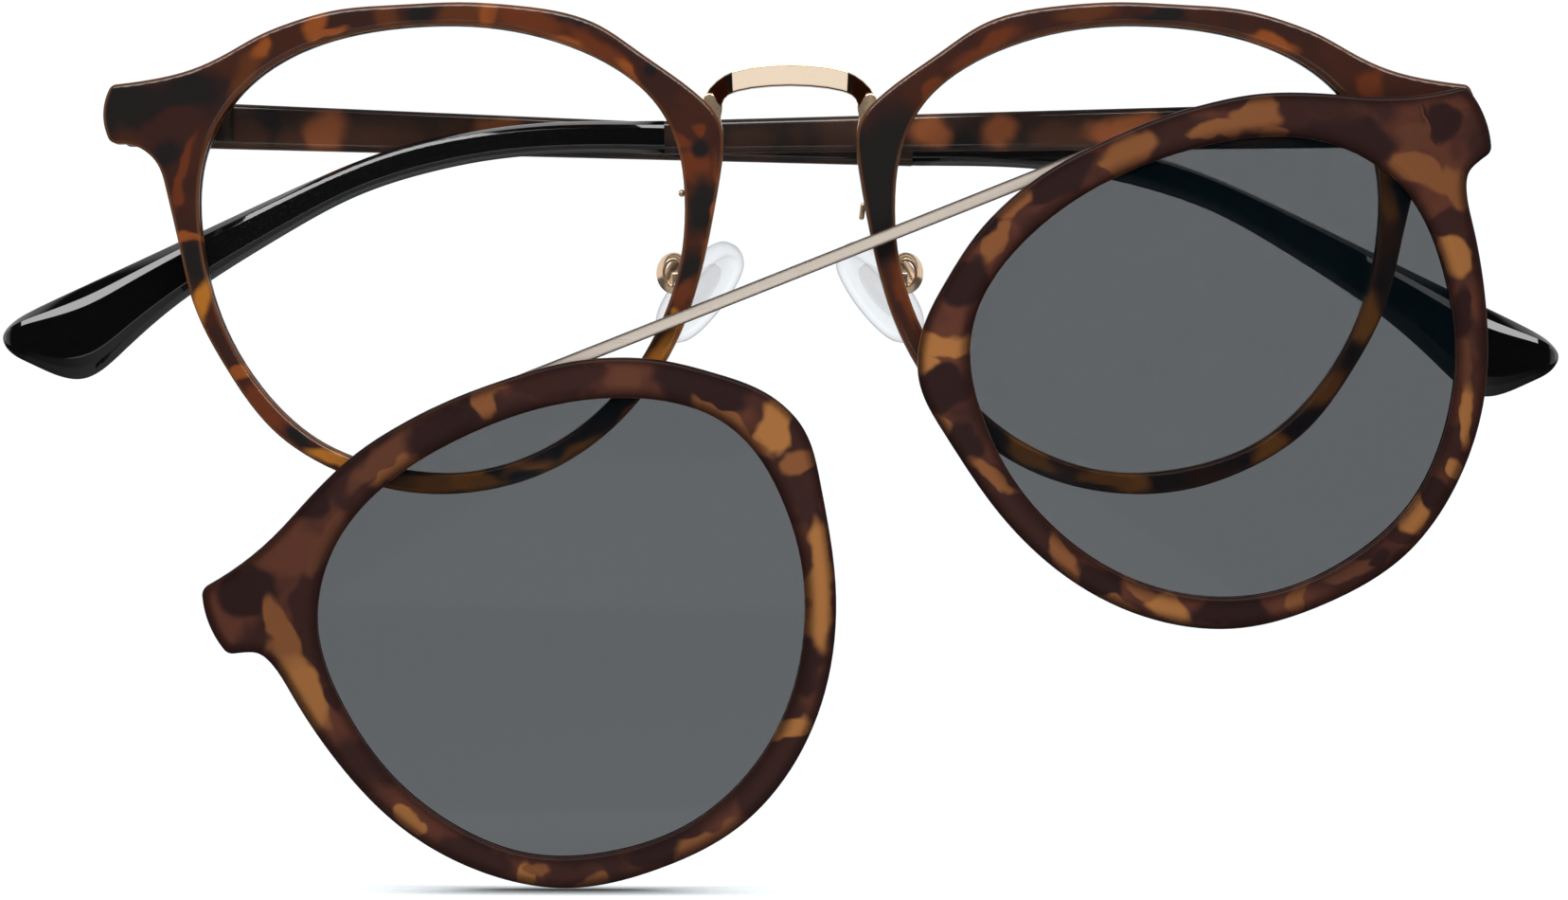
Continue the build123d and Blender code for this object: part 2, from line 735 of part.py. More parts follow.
def place_temple(shape, droop, turn, is_right):
    """Droops an arm about its hinge, turns it about the hinge axis and puts it in place."""
    placed = hinge_place() * Rot(0, 0, turn) * Rot(0, droop, 0) * shape
    return mirrored(placed) if is_right else placed


# Clip, drawn seated on the front and then turned about its pole to lie as it was taken off

def turned(shape):
    place = Vector(clip_pole_reach, depth_at(face_radius, clip_pole_reach, clip_pole_height),
                   clip_pole_height)
    return shape.rotate(Axis(ball_centre, place - ball_centre), clip_turn)


def bar_slot():
    """The slot for the bar behind the top of both rims, open upwards."""
    low = clip_bar_line - clip_bar_height / 2 - flat_fit
    tall = clip_bar_height + clip_rim_width
    return Pos(0, low + tall / 2) * Rectangle(clip_bar_length + 2 * flat_fit, tall)


def clip_rivet_planes():
    """Where the left end of the bar takes its two rivets, facing outwards."""
    planes = []
    first = clip_bar_length / 2 - clip_rivet_inset
    for x in (first, first - clip_rivet_spacing):
        planes.append(front_plane(-x, clip_bar_line, clip_rear_radius + clip_bar_recess))
    return planes


def clip_magnet_plane():
    return front_plane(-magnet_reach, hinge_height, clip_rear_radius + clip_magnet_recess)


def build_clip_rim():
    """The left rim of the clip with its tab, lens groove, bar slot and magnet pocket."""
    outline = rim_outline(clip_rim_shares, clip_lens_width, clip_lens_height, clip_rim_width,
                          clip_end_reach, clip_end_bulge, clip_end_top, clip_end_height,
                          clip_end_corner)
    outline -= lens_outline(clip_lens_width, clip_lens_height, 0)
    rim = shell_prism(Pos(-clip_pitch / 2, 0) * outline, clip_front_radius, clip_rear_radius)
    rim = fillet(edges_on(rim, clip_front_radius) + edges_on(rim, clip_rear_radius),
                 clip_rounding)
    rim -= lens_solid(clip_lens_width, clip_lens_height, clip_groove_depth, clip_pitch,
                      clip_front_radius - clip_lens_setback, clip_lens_thickness)
    bar_top = clip_rear_radius + clip_bar_recess + clip_bar_thickness
    rim -= prism(bar_slot(), -clip_thickness, seat_y) & ball(bar_top)
    magnet_hole = clip_magnet_length + overrun
    rim -= clip_magnet_plane() * Pos(0, 0, -overrun) * stud(magnet_radius, magnet_hole)
    for plane in clip_rivet_planes():
        rim -= plane * stud(clip_rivet_radius, clip_rivet_length)
    return rim


def build_clip_lens():
    return lens_solid(clip_lens_width, clip_lens_height, clip_groove_depth - lens_fit,
                      clip_pitch, clip_front_radius - clip_lens_setback, clip_lens_thickness)


def build_clip_bar():
    inner = clip_rear_radius + clip_bar_recess
    outline = Pos(0, clip_bar_line) * Rectangle(clip_bar_length, clip_bar_height)
    bar = shell_prism(outline, inner + clip_bar_thickness, inner)
    for plane in clip_rivet_planes():
        hole = plane * Pos(0, 0, -overrun) * stud(clip_rivet_radius,
                                                  clip_rivet_length + overrun)
        bar -= hole
        bar -= mirrored(hole)
    return bar


def build_clip_rivets():
    rivets = []
    for plane in clip_rivet_planes():
        part = plane * stud(clip_rivet_radius, clip_rivet_length)
        rivets += [part, mirrored(part)]
    return rivets


def build_clip_magnet():
    return clip_magnet_plane() * stud(magnet_radius, clip_magnet_length)


# Every piece under its own name

def write(name, shape):
    solids = shape if isinstance(shape, list) else [shape]
    moved = [Pos(0, -pad_depth, pad_drop) * solid for solid in solids]
    whole = moved[0] if len(moved) == 1 else Compound(children=moved)
    export_step(whole, os.path.join("parts", name + ".step"))


def write_pair(name, left):
    write(name + "_left", left)
    write(name + "_right", [mirrored(solid) for solid in left] if isinstance(left, list)
          else mirrored(left))


os.makedirs("parts", exist_ok=True)

write_pair("rim", build_rim())
write_pair("lens", build_lens())
write_pair("frame_magnet", build_magnet())
write("bridge", build_bridge())
write("bridge_screws", build_bridge_screws())
write_pair("pad_arm", build_pad_arm())
write("pad_arm_screws", build_arm_screws())
write_pair("pad_screw", build_pad_screw())
write_pair("nose_pad", build_pad())
write_pair("pad_insert", build_pad_insert())
write_pair("front_hinge", build_front_hinge())
write_pair("hinge_screw", build_hinge_screw())
write("hinge_rivets", build_front_rivets())

temple_pieces = {
    "temple": build_temple(),
    "temple_tip": build_tip(),
    "temple_core": core_solid(0),
    "temple_rivets": build_temple_rivets(),
}
for name, piece in temple_pieces.items():
    solids = piece if isinstance(piece, list) else [piece]
    write(name + "_left", [place_temple(solid, left_droop, left_fold_short, False)
                           for solid in solids])
    write(name + "_right", [place_temple(solid, right_droop, -right_fold_over, True)
                            for solid in solids])
left_hinge = build_temple_hinge(left_droop)
right_hinge = build_temple_hinge(right_droop)
write("temple_hinge_left", place_temple(left_hinge, 0, left_fold_short, False))
write("temple_hinge_right", place_temple(right_hinge, 0, -right_fold_over, True))

clip_pieces = {
    "clip_rim": build_clip_rim(),
    "clip_lens": build_clip_lens(),
    "clip_magnet": build_clip_magnet(),
}
for name, piece in clip_pieces.items():
    write(name + "_left", turned(piece))
    write(name + "_right", turned(mirrored(piece)))
write("clip_bar", turned(build_clip_bar()))
write("clip_rivets", [turned(solid) for solid in build_clip_rivets()])
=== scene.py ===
import json
import math

import bmesh
import bpy
import numpy as np
from mathutils import Matrix, Vector


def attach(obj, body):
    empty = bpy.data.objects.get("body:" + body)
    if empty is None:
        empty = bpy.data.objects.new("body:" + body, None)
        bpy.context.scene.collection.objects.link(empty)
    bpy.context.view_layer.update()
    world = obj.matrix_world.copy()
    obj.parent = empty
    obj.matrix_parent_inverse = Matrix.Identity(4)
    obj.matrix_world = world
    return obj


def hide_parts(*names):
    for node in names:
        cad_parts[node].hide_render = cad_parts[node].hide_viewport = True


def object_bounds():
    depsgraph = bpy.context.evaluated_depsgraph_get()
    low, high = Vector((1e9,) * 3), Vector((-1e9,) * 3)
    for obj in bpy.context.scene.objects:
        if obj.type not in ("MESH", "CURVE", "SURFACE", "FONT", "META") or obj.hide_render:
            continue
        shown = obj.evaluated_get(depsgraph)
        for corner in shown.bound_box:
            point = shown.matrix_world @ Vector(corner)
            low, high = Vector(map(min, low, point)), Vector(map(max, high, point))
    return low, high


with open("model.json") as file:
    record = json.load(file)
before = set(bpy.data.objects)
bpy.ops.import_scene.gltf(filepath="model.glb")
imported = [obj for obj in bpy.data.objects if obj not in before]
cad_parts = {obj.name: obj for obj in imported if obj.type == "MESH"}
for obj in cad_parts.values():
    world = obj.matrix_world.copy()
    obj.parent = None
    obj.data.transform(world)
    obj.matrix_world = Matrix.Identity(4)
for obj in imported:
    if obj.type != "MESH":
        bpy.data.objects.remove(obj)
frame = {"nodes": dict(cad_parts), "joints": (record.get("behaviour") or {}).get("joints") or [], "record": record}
cadLow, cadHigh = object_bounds()
nodes = frame["nodes"]
joints = {joint["name"]: joint for joint in frame["joints"]}
mm = 0.001
scene = bpy.context.scene
print("stage: frame loaded")


# A colour as it reads on the screen, 0 to 255, turned into Blender's own linear one
def linear(*levels):
    shares = [level / 255 for level in levels]
    return (*[share / 12.92 if share <= 0.04045 else ((share + 0.055) / 1.055) ** 2.4
              for share in shares], 1.0)


def connect(tree, node, inputs):
    for name, value in inputs.items():
        if isinstance(value, bpy.types.NodeSocket):
            tree.links.new(value, node.inputs[name])
        else:
            node.inputs[name].default_value = value


def addNode(tree, kind, inputs=None, **settings):
    node = tree.nodes.new(kind)
    for name, value in settings.items():
        setattr(node, name, value)
    connect(tree, node, inputs or {})
    return node


def placeGroup(tree, group, inputs):
    return addNode(tree, "ShaderNodeGroup", inputs, node_tree=group).outputs


def newMaterial(name):
    material = bpy.data.materials.new(name)
    material.use_nodes = True
    tree = material.node_tree
    tree.nodes.clear()
    output = tree.nodes.new("ShaderNodeOutputMaterial")
    shader = tree.nodes.new("ShaderNodeBsdfPrincipled")
    tree.links.new(shader.outputs["BSDF"], output.inputs["Surface"])
    return material, tree, shader


def newGroup(name, inputs, outputs, kindOfTree="ShaderNodeTree"):
    tree = bpy.data.node_groups.new(name, kindOfTree)
    for way, sockets in (("INPUT", inputs), ("OUTPUT", outputs)):
        for label, kind, *value in sockets:
            socket = tree.interface.new_socket(name=label, in_out=way,
                                               socket_type="NodeSocket" + kind)
            if value:
                socket.default_value = value[0]
    return tree, tree.nodes.new("NodeGroupInput").outputs, tree.nodes.new("NodeGroupOutput").inputs


def scalar(tree, operation, first, second=0.0):
    return addNode(tree, "ShaderNodeMath", {0: first, 1: second}, operation=operation).outputs[0]


def vector(tree, operation, first, second):
    node = addNode(tree, "ShaderNodeVectorMath", {0: first, 1: second}, operation=operation)
    return node.outputs["Vector"]


def scaled(tree, place, factor):
    node = addNode(tree, "ShaderNodeVectorMath", {0: place, "Scale": factor}, operation="SCALE")
    return node.outputs["Vector"]


def distance(tree, place):
    return addNode(tree, "ShaderNodeVectorMath", {0: place}, operation="LENGTH").outputs["Value"]


def ramp(tree, value, low, high, start=0.0, end=1.0, soft=True):
    node = addNode(tree, "ShaderNodeMapRange", {
        "Value": value, "From Min": low, "From Max": high, "To Min": start, "To Max": end})
    node.interpolation_type = "SMOOTHSTEP" if soft else "LINEAR"
    return node.outputs["Result"]


def mixColour(tree, share, first, second):
    node = addNode(tree, "ShaderNodeMix", {"Factor": share, 6: first, 7: second}, data_type="RGBA")
    return node.outputs[2]


def mixValue(tree, share, first, second):
    node = addNode(tree, "ShaderNodeMix", {"Factor": share, 2: first, 3: second}, data_type="FLOAT")
    return node.outputs[0]


# What all finishes share: the form of their noises, the height of their grain in metres, and how
# many rays feel for an edge
surfaceForm = {
    "noiseRoughness": 0.45, "driftDetail": 3.0, "drift": (0.35, 0.65), "grainFiner": 6.0,
    "cloudDetail": 2.0, "cloud": (0.4, 0.62), "bendFiner": 1.7, "grainHeight": 0.01 * mm,
    "edgeRays": 6,
}


def noise(tree, place, scale, detail=1.0):
    return addNode(tree, "ShaderNodeTexNoise", {
        "Vector": place, "Scale": scale, "Detail": detail,
        "Roughness": surfaceForm["noiseRoughness"]}).outputs


# Fine wear, shared by every finish: a roughness that drifts and a height for the grain
def makeFineWear():
    tree, given, made = newGroup("fineWear", [
        ("Vector", "Vector"), ("Scale", "Float", 900.0), ("Smooth", "Float", 0.2),
        ("Rough", "Float", 0.3),
    ], [("Roughness", "Float"), ("Height", "Float")])
    drift = noise(tree, given["Vector"], given["Scale"], surfaceForm["driftDetail"])["Fac"]
    finer = scalar(tree, "MULTIPLY", given["Scale"], surfaceForm["grainFiner"])
    grain = noise(tree, given["Vector"], finer)["Fac"]
    rough = ramp(tree, drift, *surfaceForm["drift"], given["Smooth"], given["Rough"], soft=False)
    tree.links.new(rough, made["Roughness"])
    tree.links.new(grain, made["Height"])
    return tree


# Clouds of two tones, and a place that wanders a little, so that patches get uneven edges
def makeAcetateClouds():
    tree, given, made = newGroup("acetateClouds", [
        ("Vector", "Vector"), ("Scale", "Float", 120.0), ("Wander", "Float", 0.004),
        ("Deep", "Color"), ("Light", "Color"),
    ], [("Colour", "Color"), ("Vector", "Vector")])
    finer = scalar(tree, "MULTIPLY", given["Scale"], surfaceForm["bendFiner"])
    bend = noise(tree, given["Vector"], finer, surfaceForm["cloudDetail"])["Color"]
    offset = vector(tree, "SUBTRACT", bend, (0.5, 0.5, 0.5))
    wandered = vector(tree, "ADD", given["Vector"], scaled(tree, offset, given["Wander"]))
    cloud = noise(tree, wandered, given["Scale"], surfaceForm["cloudDetail"])["Fac"]
    share = ramp(tree, cloud, *surfaceForm["cloud"])
    tree.links.new(mixColour(tree, share, given["Deep"], given["Light"]), made["Colour"])
    tree.links.new(wandered, made["Vector"])
    return tree


# One oval patch as the front shows it: 1 inside and 0 outside, through all depths
def makeOvalPatch():
    tree, given, made = newGroup("ovalPatch", [
        ("Vector", "Vector"), ("Centre", "Vector"), ("Turn", "Float", 0.0),
        ("Per Size", "Vector"), ("Soft", "Float", 0.2),
    ], [("Mask", "Float")])
    moved = vector(tree, "SUBTRACT", given["Vector"], given["Centre"])
    turned = addNode(tree, "ShaderNodeVectorRotate", {"Vector": moved, "Angle": given["Turn"]},
                     rotation_type="Y_AXIS").outputs["Vector"]
    reach = distance(tree, vector(tree, "MULTIPLY", turned, given["Per Size"]))
    outer = scalar(tree, "ADD", 1.0, given["Soft"])
    inner = scalar(tree, "SUBTRACT", 1.0, given["Soft"])
    tree.links.new(ramp(tree, reach, inner, outer, 1.0, 0.0), made["Mask"])
    return tree


# How far a face is turned away from the front, for painted edge light and shade and for the coat's fade
def makeSideFace():
    tree, given, made = newGroup("sideFace", [
        ("Normal", "Vector"), ("From", "Float", 0.2), ("To", "Float", 0.8),
    ], [("Mask", "Float")])
    depth = addNode(tree, "ShaderNodeSeparateXYZ", {"Vector": given["Normal"]}).outputs["Y"]
    away = scalar(tree, "SUBTRACT", 1.0, scalar(tree, "ABSOLUTE", depth))
    tree.links.new(ramp(tree, away, given["From"], given["To"]), made["Mask"])
    return tree


fineWear = makeFineWear()
acetateClouds = makeAcetateClouds()
ovalPatch = makeOvalPatch()
sideFace = makeSideFace()


# The surface's normal as if its edges were rounded so far, in the piece's own frame
def roundedNormal(tree, reach):
    world = addNode(tree, "ShaderNodeBevel", {"Radius": reach * mm},
                    samples=surfaceForm["edgeRays"]).outputs["Normal"]
    return addNode(tree, "ShaderNodeVectorTransform", {"Vector": world}, vector_type="NORMAL",
                   convert_from="WORLD", convert_to="OBJECT").outputs["Vector"]


def sideMask(tree, normal, low, high):
    return placeGroup(tree, sideFace, {"Normal": normal, "From": low, "To": high})["Mask"]


def ownPlace(tree):
    return addNode(tree, "ShaderNodeTexCoord").outputs["Object"]


def placeWear(tree, place, look):
    return placeGroup(tree, fineWear, {"Vector": place, "Scale": look["scale"],
                                       "Smooth": look["rough"][0], "Rough": look["rough"][1]})


def wornTone(tree, wear, colour, shade):
    return mixColour(tree, wear["Height"], linear(*colour), linear(*shade))


def finishSurface(tree, shader, wear, strength):
    bump = addNode(tree, "ShaderNodeBump", {"Height": wear["Height"], "Strength": strength,
                                            "Distance": surfaceForm["grainHeight"]})
    connect(tree, shader, {"Normal": bump.outputs["Normal"], "Roughness": wear["Roughness"]})


# The pattern of the acetate: each patch is its centre, its half sizes, its turn in degrees and
# its tone, as the front shows it in millimetres
frontPatches = [
    (9.6, 13.0, 2.4, 4.4, -16, "dark"), (8.3, 7.5, 1.6, 5.4, 4, "dark"),
    (-9.2, 12.4, 1.3, 1.6, 0, "rust"), (-7.0, 9.0, 0.5, 3.6, 4, "rust"),
    (-9.0, 8.6, 1.0, 2.6, -6, "dark"), (-10.2, 1.6, 1.1, 2.0, -20, "dark"),
    (-10.9, -5.0, 1.0, 2.0, -22, "amber"), (-11.0, -3.0, 0.6, 0.9, -22, "gold"),
    (-33.0, -18.9, 5.0, 1.1, 0, "honey"), (-25.5, -18.2, 2.4, 1.2, 12, "honey"),
    (-29.3, -18.9, 0.9, 1.6, 0, "dark"), (-19.5, -15.9, 2.2, 1.3, 32, "honey"),
    (-22.4, -17.6, 0.8, 1.4, 0, "dark"), (23.5, -15.4, 1.9, 1.1, -34, "honey"),
    (28.0, -17.8, 2.0, 1.1, -18, "brown"), (33.5, -19.0, 1.8, 1.1, 0, "honey"),
    (42.0, -18.6, 2.4, 1.1, 10, "brown"), (47.5, -16.0, 1.6, 1.3, 35, "honey"),
    (54.5, -9.4, 1.2, 1.8, -35, "brown"), (57.5, -2.8, 1.1, 2.2, -16, "honey"),
    (59.0, 6.0, 1.2, 3.0, 0, "brown"), (59.4, 13.0, 1.5, 1.8, 0, "honey"),
    (-64.8, 18.5, 2.8, 2.4, 0, "dark"), (-59.2, 19.4, 3.2, 1.9, 5, "dark"),
    (-62.0, 13.8, 1.7, 1.3, 0, "dark"), (-67.6, 18.1, 0.8, 2.8, 0, "dark"),
    (-60.6, 17.5, 3.0, 0.7, 12, "plum"), (-63.7, 16.0, 0.9, 1.0, 0, "plum"),
    (-60.1, 11.4, 0.5, 3.2, -17, "rust"), (-60.8, 8.8, 0.5, 0.7, 0, "rust"),
    (-52.9, 23.9, 1.4, 0.9, 35, "brown"), (-54.2, 21.3, 0.7, 2.4, -16, "brown"),
    (-52.7, 24.2, 1.0, 0.6, 40, "amber"), (-47.0, 26.3, 1.1, 1.5, -10, "amber"),
    (-45.7, 25.1, 1.7, 0.5, 12, "amber"), (-40.1, 27.2, 1.2, 1.7, 0, "brown"),
    (-36.2, 27.3, 1.5, 1.2, 0, "dark"), (-32.6, 27.1, 2.1, 1.3, 0, "brown"),
    (-30.2, 27.5, 0.7, 1.2, 0, "amber"), (-26.1, 26.7, 3.2, 1.3, -8, "rust"),
    (-20.8, 27.0, 2.1, 0.7, -12, "dark"), (-18.1, 23.0, 4.1, 1.0, -42, "rust"),
    (-21.9, 24.5, 1.9, 0.7, -25, "amber"), (-15.5, 21.1, 1.9, 0.4, -45, "amber"),
    (-13.5, 21.7, 0.7, 0.7, 0, "dark"), (-9.3, 16.0, 0.6, 0.6, 0, "rust"),
    (-10.9, 14.7, 1.1, 0.4, -15, "rust"), (-8.7, 14.4, 0.7, 0.8, 0, "dark"),
    (-7.8, 8.3, 0.4, 0.6, 0, "amber"), (-8.2, 4.1, 0.6, 1.1, -20, "rust"),
    (-10.0, -0.4, 0.7, 1.7, -20, "rust"), (-59.4, 5.2, 1.7, 0.4, 0, "amber"),
    (-59.1, 2.6, 1.2, 1.9, -8, "dark"), (-58.7, -1.1, 0.8, 1.8, -18, "gold"),
    (-54.6, -8.1, 1.4, 0.6, 30, "amber"), (-52.1, -11.8, 1.1, 2.4, 48, "rust"),
    (-48.8, -14.6, 1.7, 0.7, -38, "dark"), (-45.2, -16.8, 2.4, 0.7, -18, "gold"),
    (-38.9, -19.2, 1.5, 0.7, -5, "gold"), (-34.8, -19.3, 1.3, 0.7, 0, "gold"),
    (-30.1, -19.3, 1.5, 0.7, 5, "gold"), (-26.4, -18.4, 1.7, 0.6, 14, "dark"),
    (-20.8, -16.5, 3.7, 0.7, 28, "gold"), (-15.5, -12.5, 3.2, 0.7, 48, "gold"),
    (-12.5, -6.2, 1.1, 2.1, -25, "gold"), (14.1, 19.7, 1.3, 0.8, 40, "rust"),
    (19.7, 23.9, 3.2, 0.8, 32, "rust"), (6.6, 12.7, 1.3, 4.1, 0, "dark"),
    (9.9, 9.4, 1.1, 3.2, 0, "dark"), (11.6, -0.6, 0.7, 2.8, 18, "rust"),
    (47.7, 24.6, 2.2, 0.7, -18, "amber"), (57.7, 20.7, 1.2, 1.4, 20, "rust"),
    (29.5, 27.3, 2.4, 0.7, 6, "brown"), (37.0, 27.4, 2.1, 0.7, -4, "dark"),
    (23.9, -16.8, 2.4, 0.6, -22, "gold"), (31.4, -18.7, 2.2, 0.6, -8, "gold"),
    (42.1, -18.6, 2.4, 0.6, 10, "brown"), (52.8, -9.9, 1.1, 2.2, -38, "gold"),
    (59.0, 9.4, 0.9, 2.4, 8, "gold"),
]
templePatches = [
    (-46.6, 15.9, 1.7, 2.4, -25, "amber"), (-49.9, 14.6, 1.3, 1.3, 0, "brown"),
    (-40.6, 15.5, 3.2, 1.7, 0, "brown"), (-54.6, 15.5, 1.9, 1.3, 0, "brown"),
    (-34.0, 15.5, 1.5, 1.7, 0, "brown"), (-29.4, 16.6, 2.1, 0.9, 0, "amber"),
    (-66.7, 14.1, 2.8, 0.7, 0, "amber"), (14.1, 15.7, 1.7, 1.3, 0, "amber"),
    (20.9, 16.2, 1.5, 1.5, 0, "amber"), (26.7, 15.5, 2.4, 1.1, 0, "brown"),
    (33.2, 16.6, 3.2, 0.9, 8, "amber"), (38.4, 14.6, 1.9, 0.7, 0, "brown"),
    (47.2, 14.6, 2.8, 0.9, 0, "brown"), (57.5, 14.6, 1.9, 1.1, 0, "amber"),
]
clipPatches = [
    # The first two paint a moulded line on the clip's right end: a painted shade line with a lighter painted
    # highlight beside it
    (63.5, 16.2, 0.22, 1.7, 14, "dark"), (63.1, 16.2, 0.16, 1.6, 14, "brown"),
    (-53.5, -30.1, 2.4, 2.1, 0, "dark"), (-50.6, -33.6, 1.2, 3.3, 20, "amber"),
    (-48.0, -39.8, 1.6, 3.2, 28, "gold"), (-45.0, -40.4, 0.8, 1.5, 30, "plum"),
    (-47.8, -31.2, 1.1, 2.4, 8, "plum"), (-45.7, -24.9, 1.1, 3.2, -30, "brown"),
    (-43.7, -26.1, 1.5, 0.9, -40, "brown"), (-47.1, -20.5, 2.4, 1.5, 40, "dark"),
    (-39.4, -16.5, 4.3, 1.2, 34, "brown"), (-38.3, -17.6, 3.2, 0.6, 36, "amber"),
    (-33.3, -13.5, 4.1, 1.4, 26, "dark"), (-29.8, -11.4, 1.0, 1.9, -12, "amber"),
    (-29.4, -9.9, 1.3, 0.6, 20, "amber"), (-22.8, -8.8, 4.3, 1.5, 8, "plum"),
    (-17.7, -7.2, 2.4, 0.7, 4, "brown"), (-15.9, -9.2, 0.7, 1.7, -10, "brown"),
    (-8.8, -9.7, 4.1, 1.7, -16, "dark"), (-7.3, -12.3, 2.2, 0.7, -32, "amber"),
    (-1.5, -13.7, 1.4, 2.4, -30, "gold"), (-3.7, -15.1, 1.9, 0.8, -40, "amber"),
    (0.6, -16.9, 1.4, 1.5, -25, "amber"), (1.7, -21.6, 1.3, 1.6, -5, "plum"),
    (2.5, -29.0, 1.2, 5.2, 3, "gold"), (1.1, -36.8, 1.1, 3.2, 12, "dark"),
    (0.3, -43.2, 1.9, 0.8, 8, "gold"), (-3.2, -49.7, 1.9, 2.1, 40, "plum"),
    (-7.7, -54.2, 3.2, 0.9, 30, "amber"), (-10.1, -55.5, 1.3, 0.9, 0, "amber"),
    (-13.5, -55.5, 2.4, 1.3, 20, "dark"), (-19.8, -59.0, 1.5, 0.6, 10, "amber"),
    (-26.1, -57.9, 0.8, 1.4, 0, "gold"), (-25.1, -56.8, 1.1, 0.4, 0, "amber"),
    (-31.2, -56.0, 3.4, 1.3, -20, "plum"), (-37.8, -51.9, 1.2, 1.0, 20, "gold"),
    (-36.8, -52.9, 0.9, 0.7, 0, "gold"), (-41.3, -46.7, 2.4, 1.5, -42, "plum"),
    (33.2, 13.6, 2.4, 1.1, 20, "amber"), (31.5, 12.1, 0.9, 0.7, 0, "amber"),
    (39.9, 14.6, 2.8, 1.1, 12, "plum"), (45.8, 17.3, 2.2, 1.1, 8, "amber"),
    (41.9, 15.7, 2.6, 0.7, 8, "amber"), (47.7, 15.8, 1.1, 0.6, 0, "amber"),
    (26.7, 10.8, 3.7, 1.3, 32, "dark"), (21.4, 8.4, 1.9, 1.1, 42, "amber"),
    (20.1, 4.1, 0.8, 2.4, -24, "amber"), (18.7, 5.6, 1.1, 1.3, 0, "dark"),
    (17.2, 0.5, 2.1, 2.1, 30, "dark"), (15.3, -5.6, 3.0, 1.2, 2, "gold"),
    (13.6, -7.5, 1.1, 0.7, 0, "gold"), (15.5, -9.7, 2.2, 1.7, 0, "dark"),
    (14.5, -13.1, 2.1, 0.7, -48, "amber"), (17.3, -15.1, 2.1, 1.3, -40, "dark"),
    (19.8, -18.3, 2.1, 0.9, -45, "amber"), (21.3, -19.8, 1.1, 0.6, -20, "amber"),
    (22.9, -22.3, 2.4, 1.1, -42, "plum"), (26.7, -26.4, 1.0, 2.6, 30, "amber"),
    (30.4, -28.8, 2.2, 1.0, -32, "dark"), (37.5, -31.2, 2.2, 0.9, -14, "gold"),
    (34.2, -29.3, 1.9, 0.6, -28, "amber"), (32.1, -30.5, 1.7, 0.5, -20, "amber"),
    (43.5, -31.7, 3.2, 1.1, 0, "dark"), (50.5, -30.5, 0.7, 1.7, -30, "amber"),
    (55.2, -27.8, 2.4, 1.0, 28, "brown"), (57.7, -26.5, 1.1, 0.8, 0, "dark"),
    (60.3, -23.9, 1.3, 0.9, 30, "plum"), (62.0, -22.2, 1.4, 1.1, 45, "gold"),
    (63.3, -20.0, 1.1, 1.3, 0, "dark"), (65.8, -17.8, 0.7, 1.0, -20, "gold"),
    (65.7, -15.1, 1.1, 1.5, 0, "plum"), (66.8, -12.2, 0.7, 2.8, -6, "gold"),
    (66.4, -6.9, 1.1, 1.9, 0, "brown"), (66.7, -2.3, 1.1, 2.4, 0, "dark"),
    (66.2, 3.5, 1.2, 1.9, 12, "gold"), (65.0, 6.7, 1.7, 1.1, 30, "plum"),
    (62.2, 11.8, 3.2, 1.3, -34, "amber"), (61.4, 14.9, 2.1, 1.1, 10, "brown"),
    (65.9, 10.3, 1.3, 1.9, 20, "amber"), (65.0, 16.4, 1.3, 2.1, 0, "dark"),
    (54.7, 14.6, 4.7, 1.9, 0, "dark"),
]
# All three: the coat fades on turned faces, where less of the painted edge tone shows too
plainAcetate = {"scale": 500.0, "cloudScale": 150.0, "specular": 0.05, "coatFades": (0.02, 0.3),
                "turned": (0.5, 0.95), "turnedShare": 0.2}
# In each look, edge is the tone painted along edges that turn from the front: a painted glow of light through the
# front's edges, painted shade round the clip's rims, and a dull brown on the temples' edges
tortoiseLooks = {
    "frontTortoise": {
        "tones": {"dark": (28, 25, 25), "plum": (48, 28, 24), "brown": (78, 42, 24),
                  "honey": (176, 112, 42), "rust": (88, 43, 24), "amber": (122, 64, 28),
                  "gold": (152, 94, 32)},
        "clouds": ("plum", (57, 31, 23)),
        "edge": (128, 78, 40), "edgeShadingShare": 0.4, "edgeShadingReach": 0.22, "edgeShadingFade": 0.3,
        "wander": 0.003, "soft": 0.4, "swell": 1.12,
        "rough": (0.3, 0.4), "grain": 0.04, "coat": 0.8, "coatRough": 0.14,
        "patches": frontPatches,
    },
    "templeTortoise": {
        "tones": {"dark": (33, 30, 29), "brown": (76, 50, 38), "amber": (146, 84, 50)},
        "clouds": ("dark", (58, 42, 35)),
        "edge": (60, 44, 34), "edgeShadingShare": 0.4, "edgeShadingReach": 0.2, "edgeShadingFade": 0.3,
        "wander": 0.003, "soft": 0.45, "swell": 1.15,
        "rough": (0.3, 0.4), "grain": 0.03, "coat": 1.0, "coatRough": 0.1,
        "patches": templePatches,
    },
    "clipTortoise": {
        "tones": {"dark": (40, 24, 23), "plum": (50, 29, 26), "brown": (84, 50, 35),
                  "amber": (116, 72, 42), "gold": (146, 96, 52)},
        "clouds": ("plum", (84, 47, 35)),
        "edge": (28, 11, 8), "edgeShadingShare": 0.88, "edgeShadingReach": 1.5, "edgeShadingFade": 0.028,
        "wander": 0.0042, "soft": 0.2, "swell": 1.16,
        "rough": (0.4, 0.5), "grain": 0.06, "coat": 0.12, "coatRough": 0.36,
        "patches": clipPatches,
    },
}


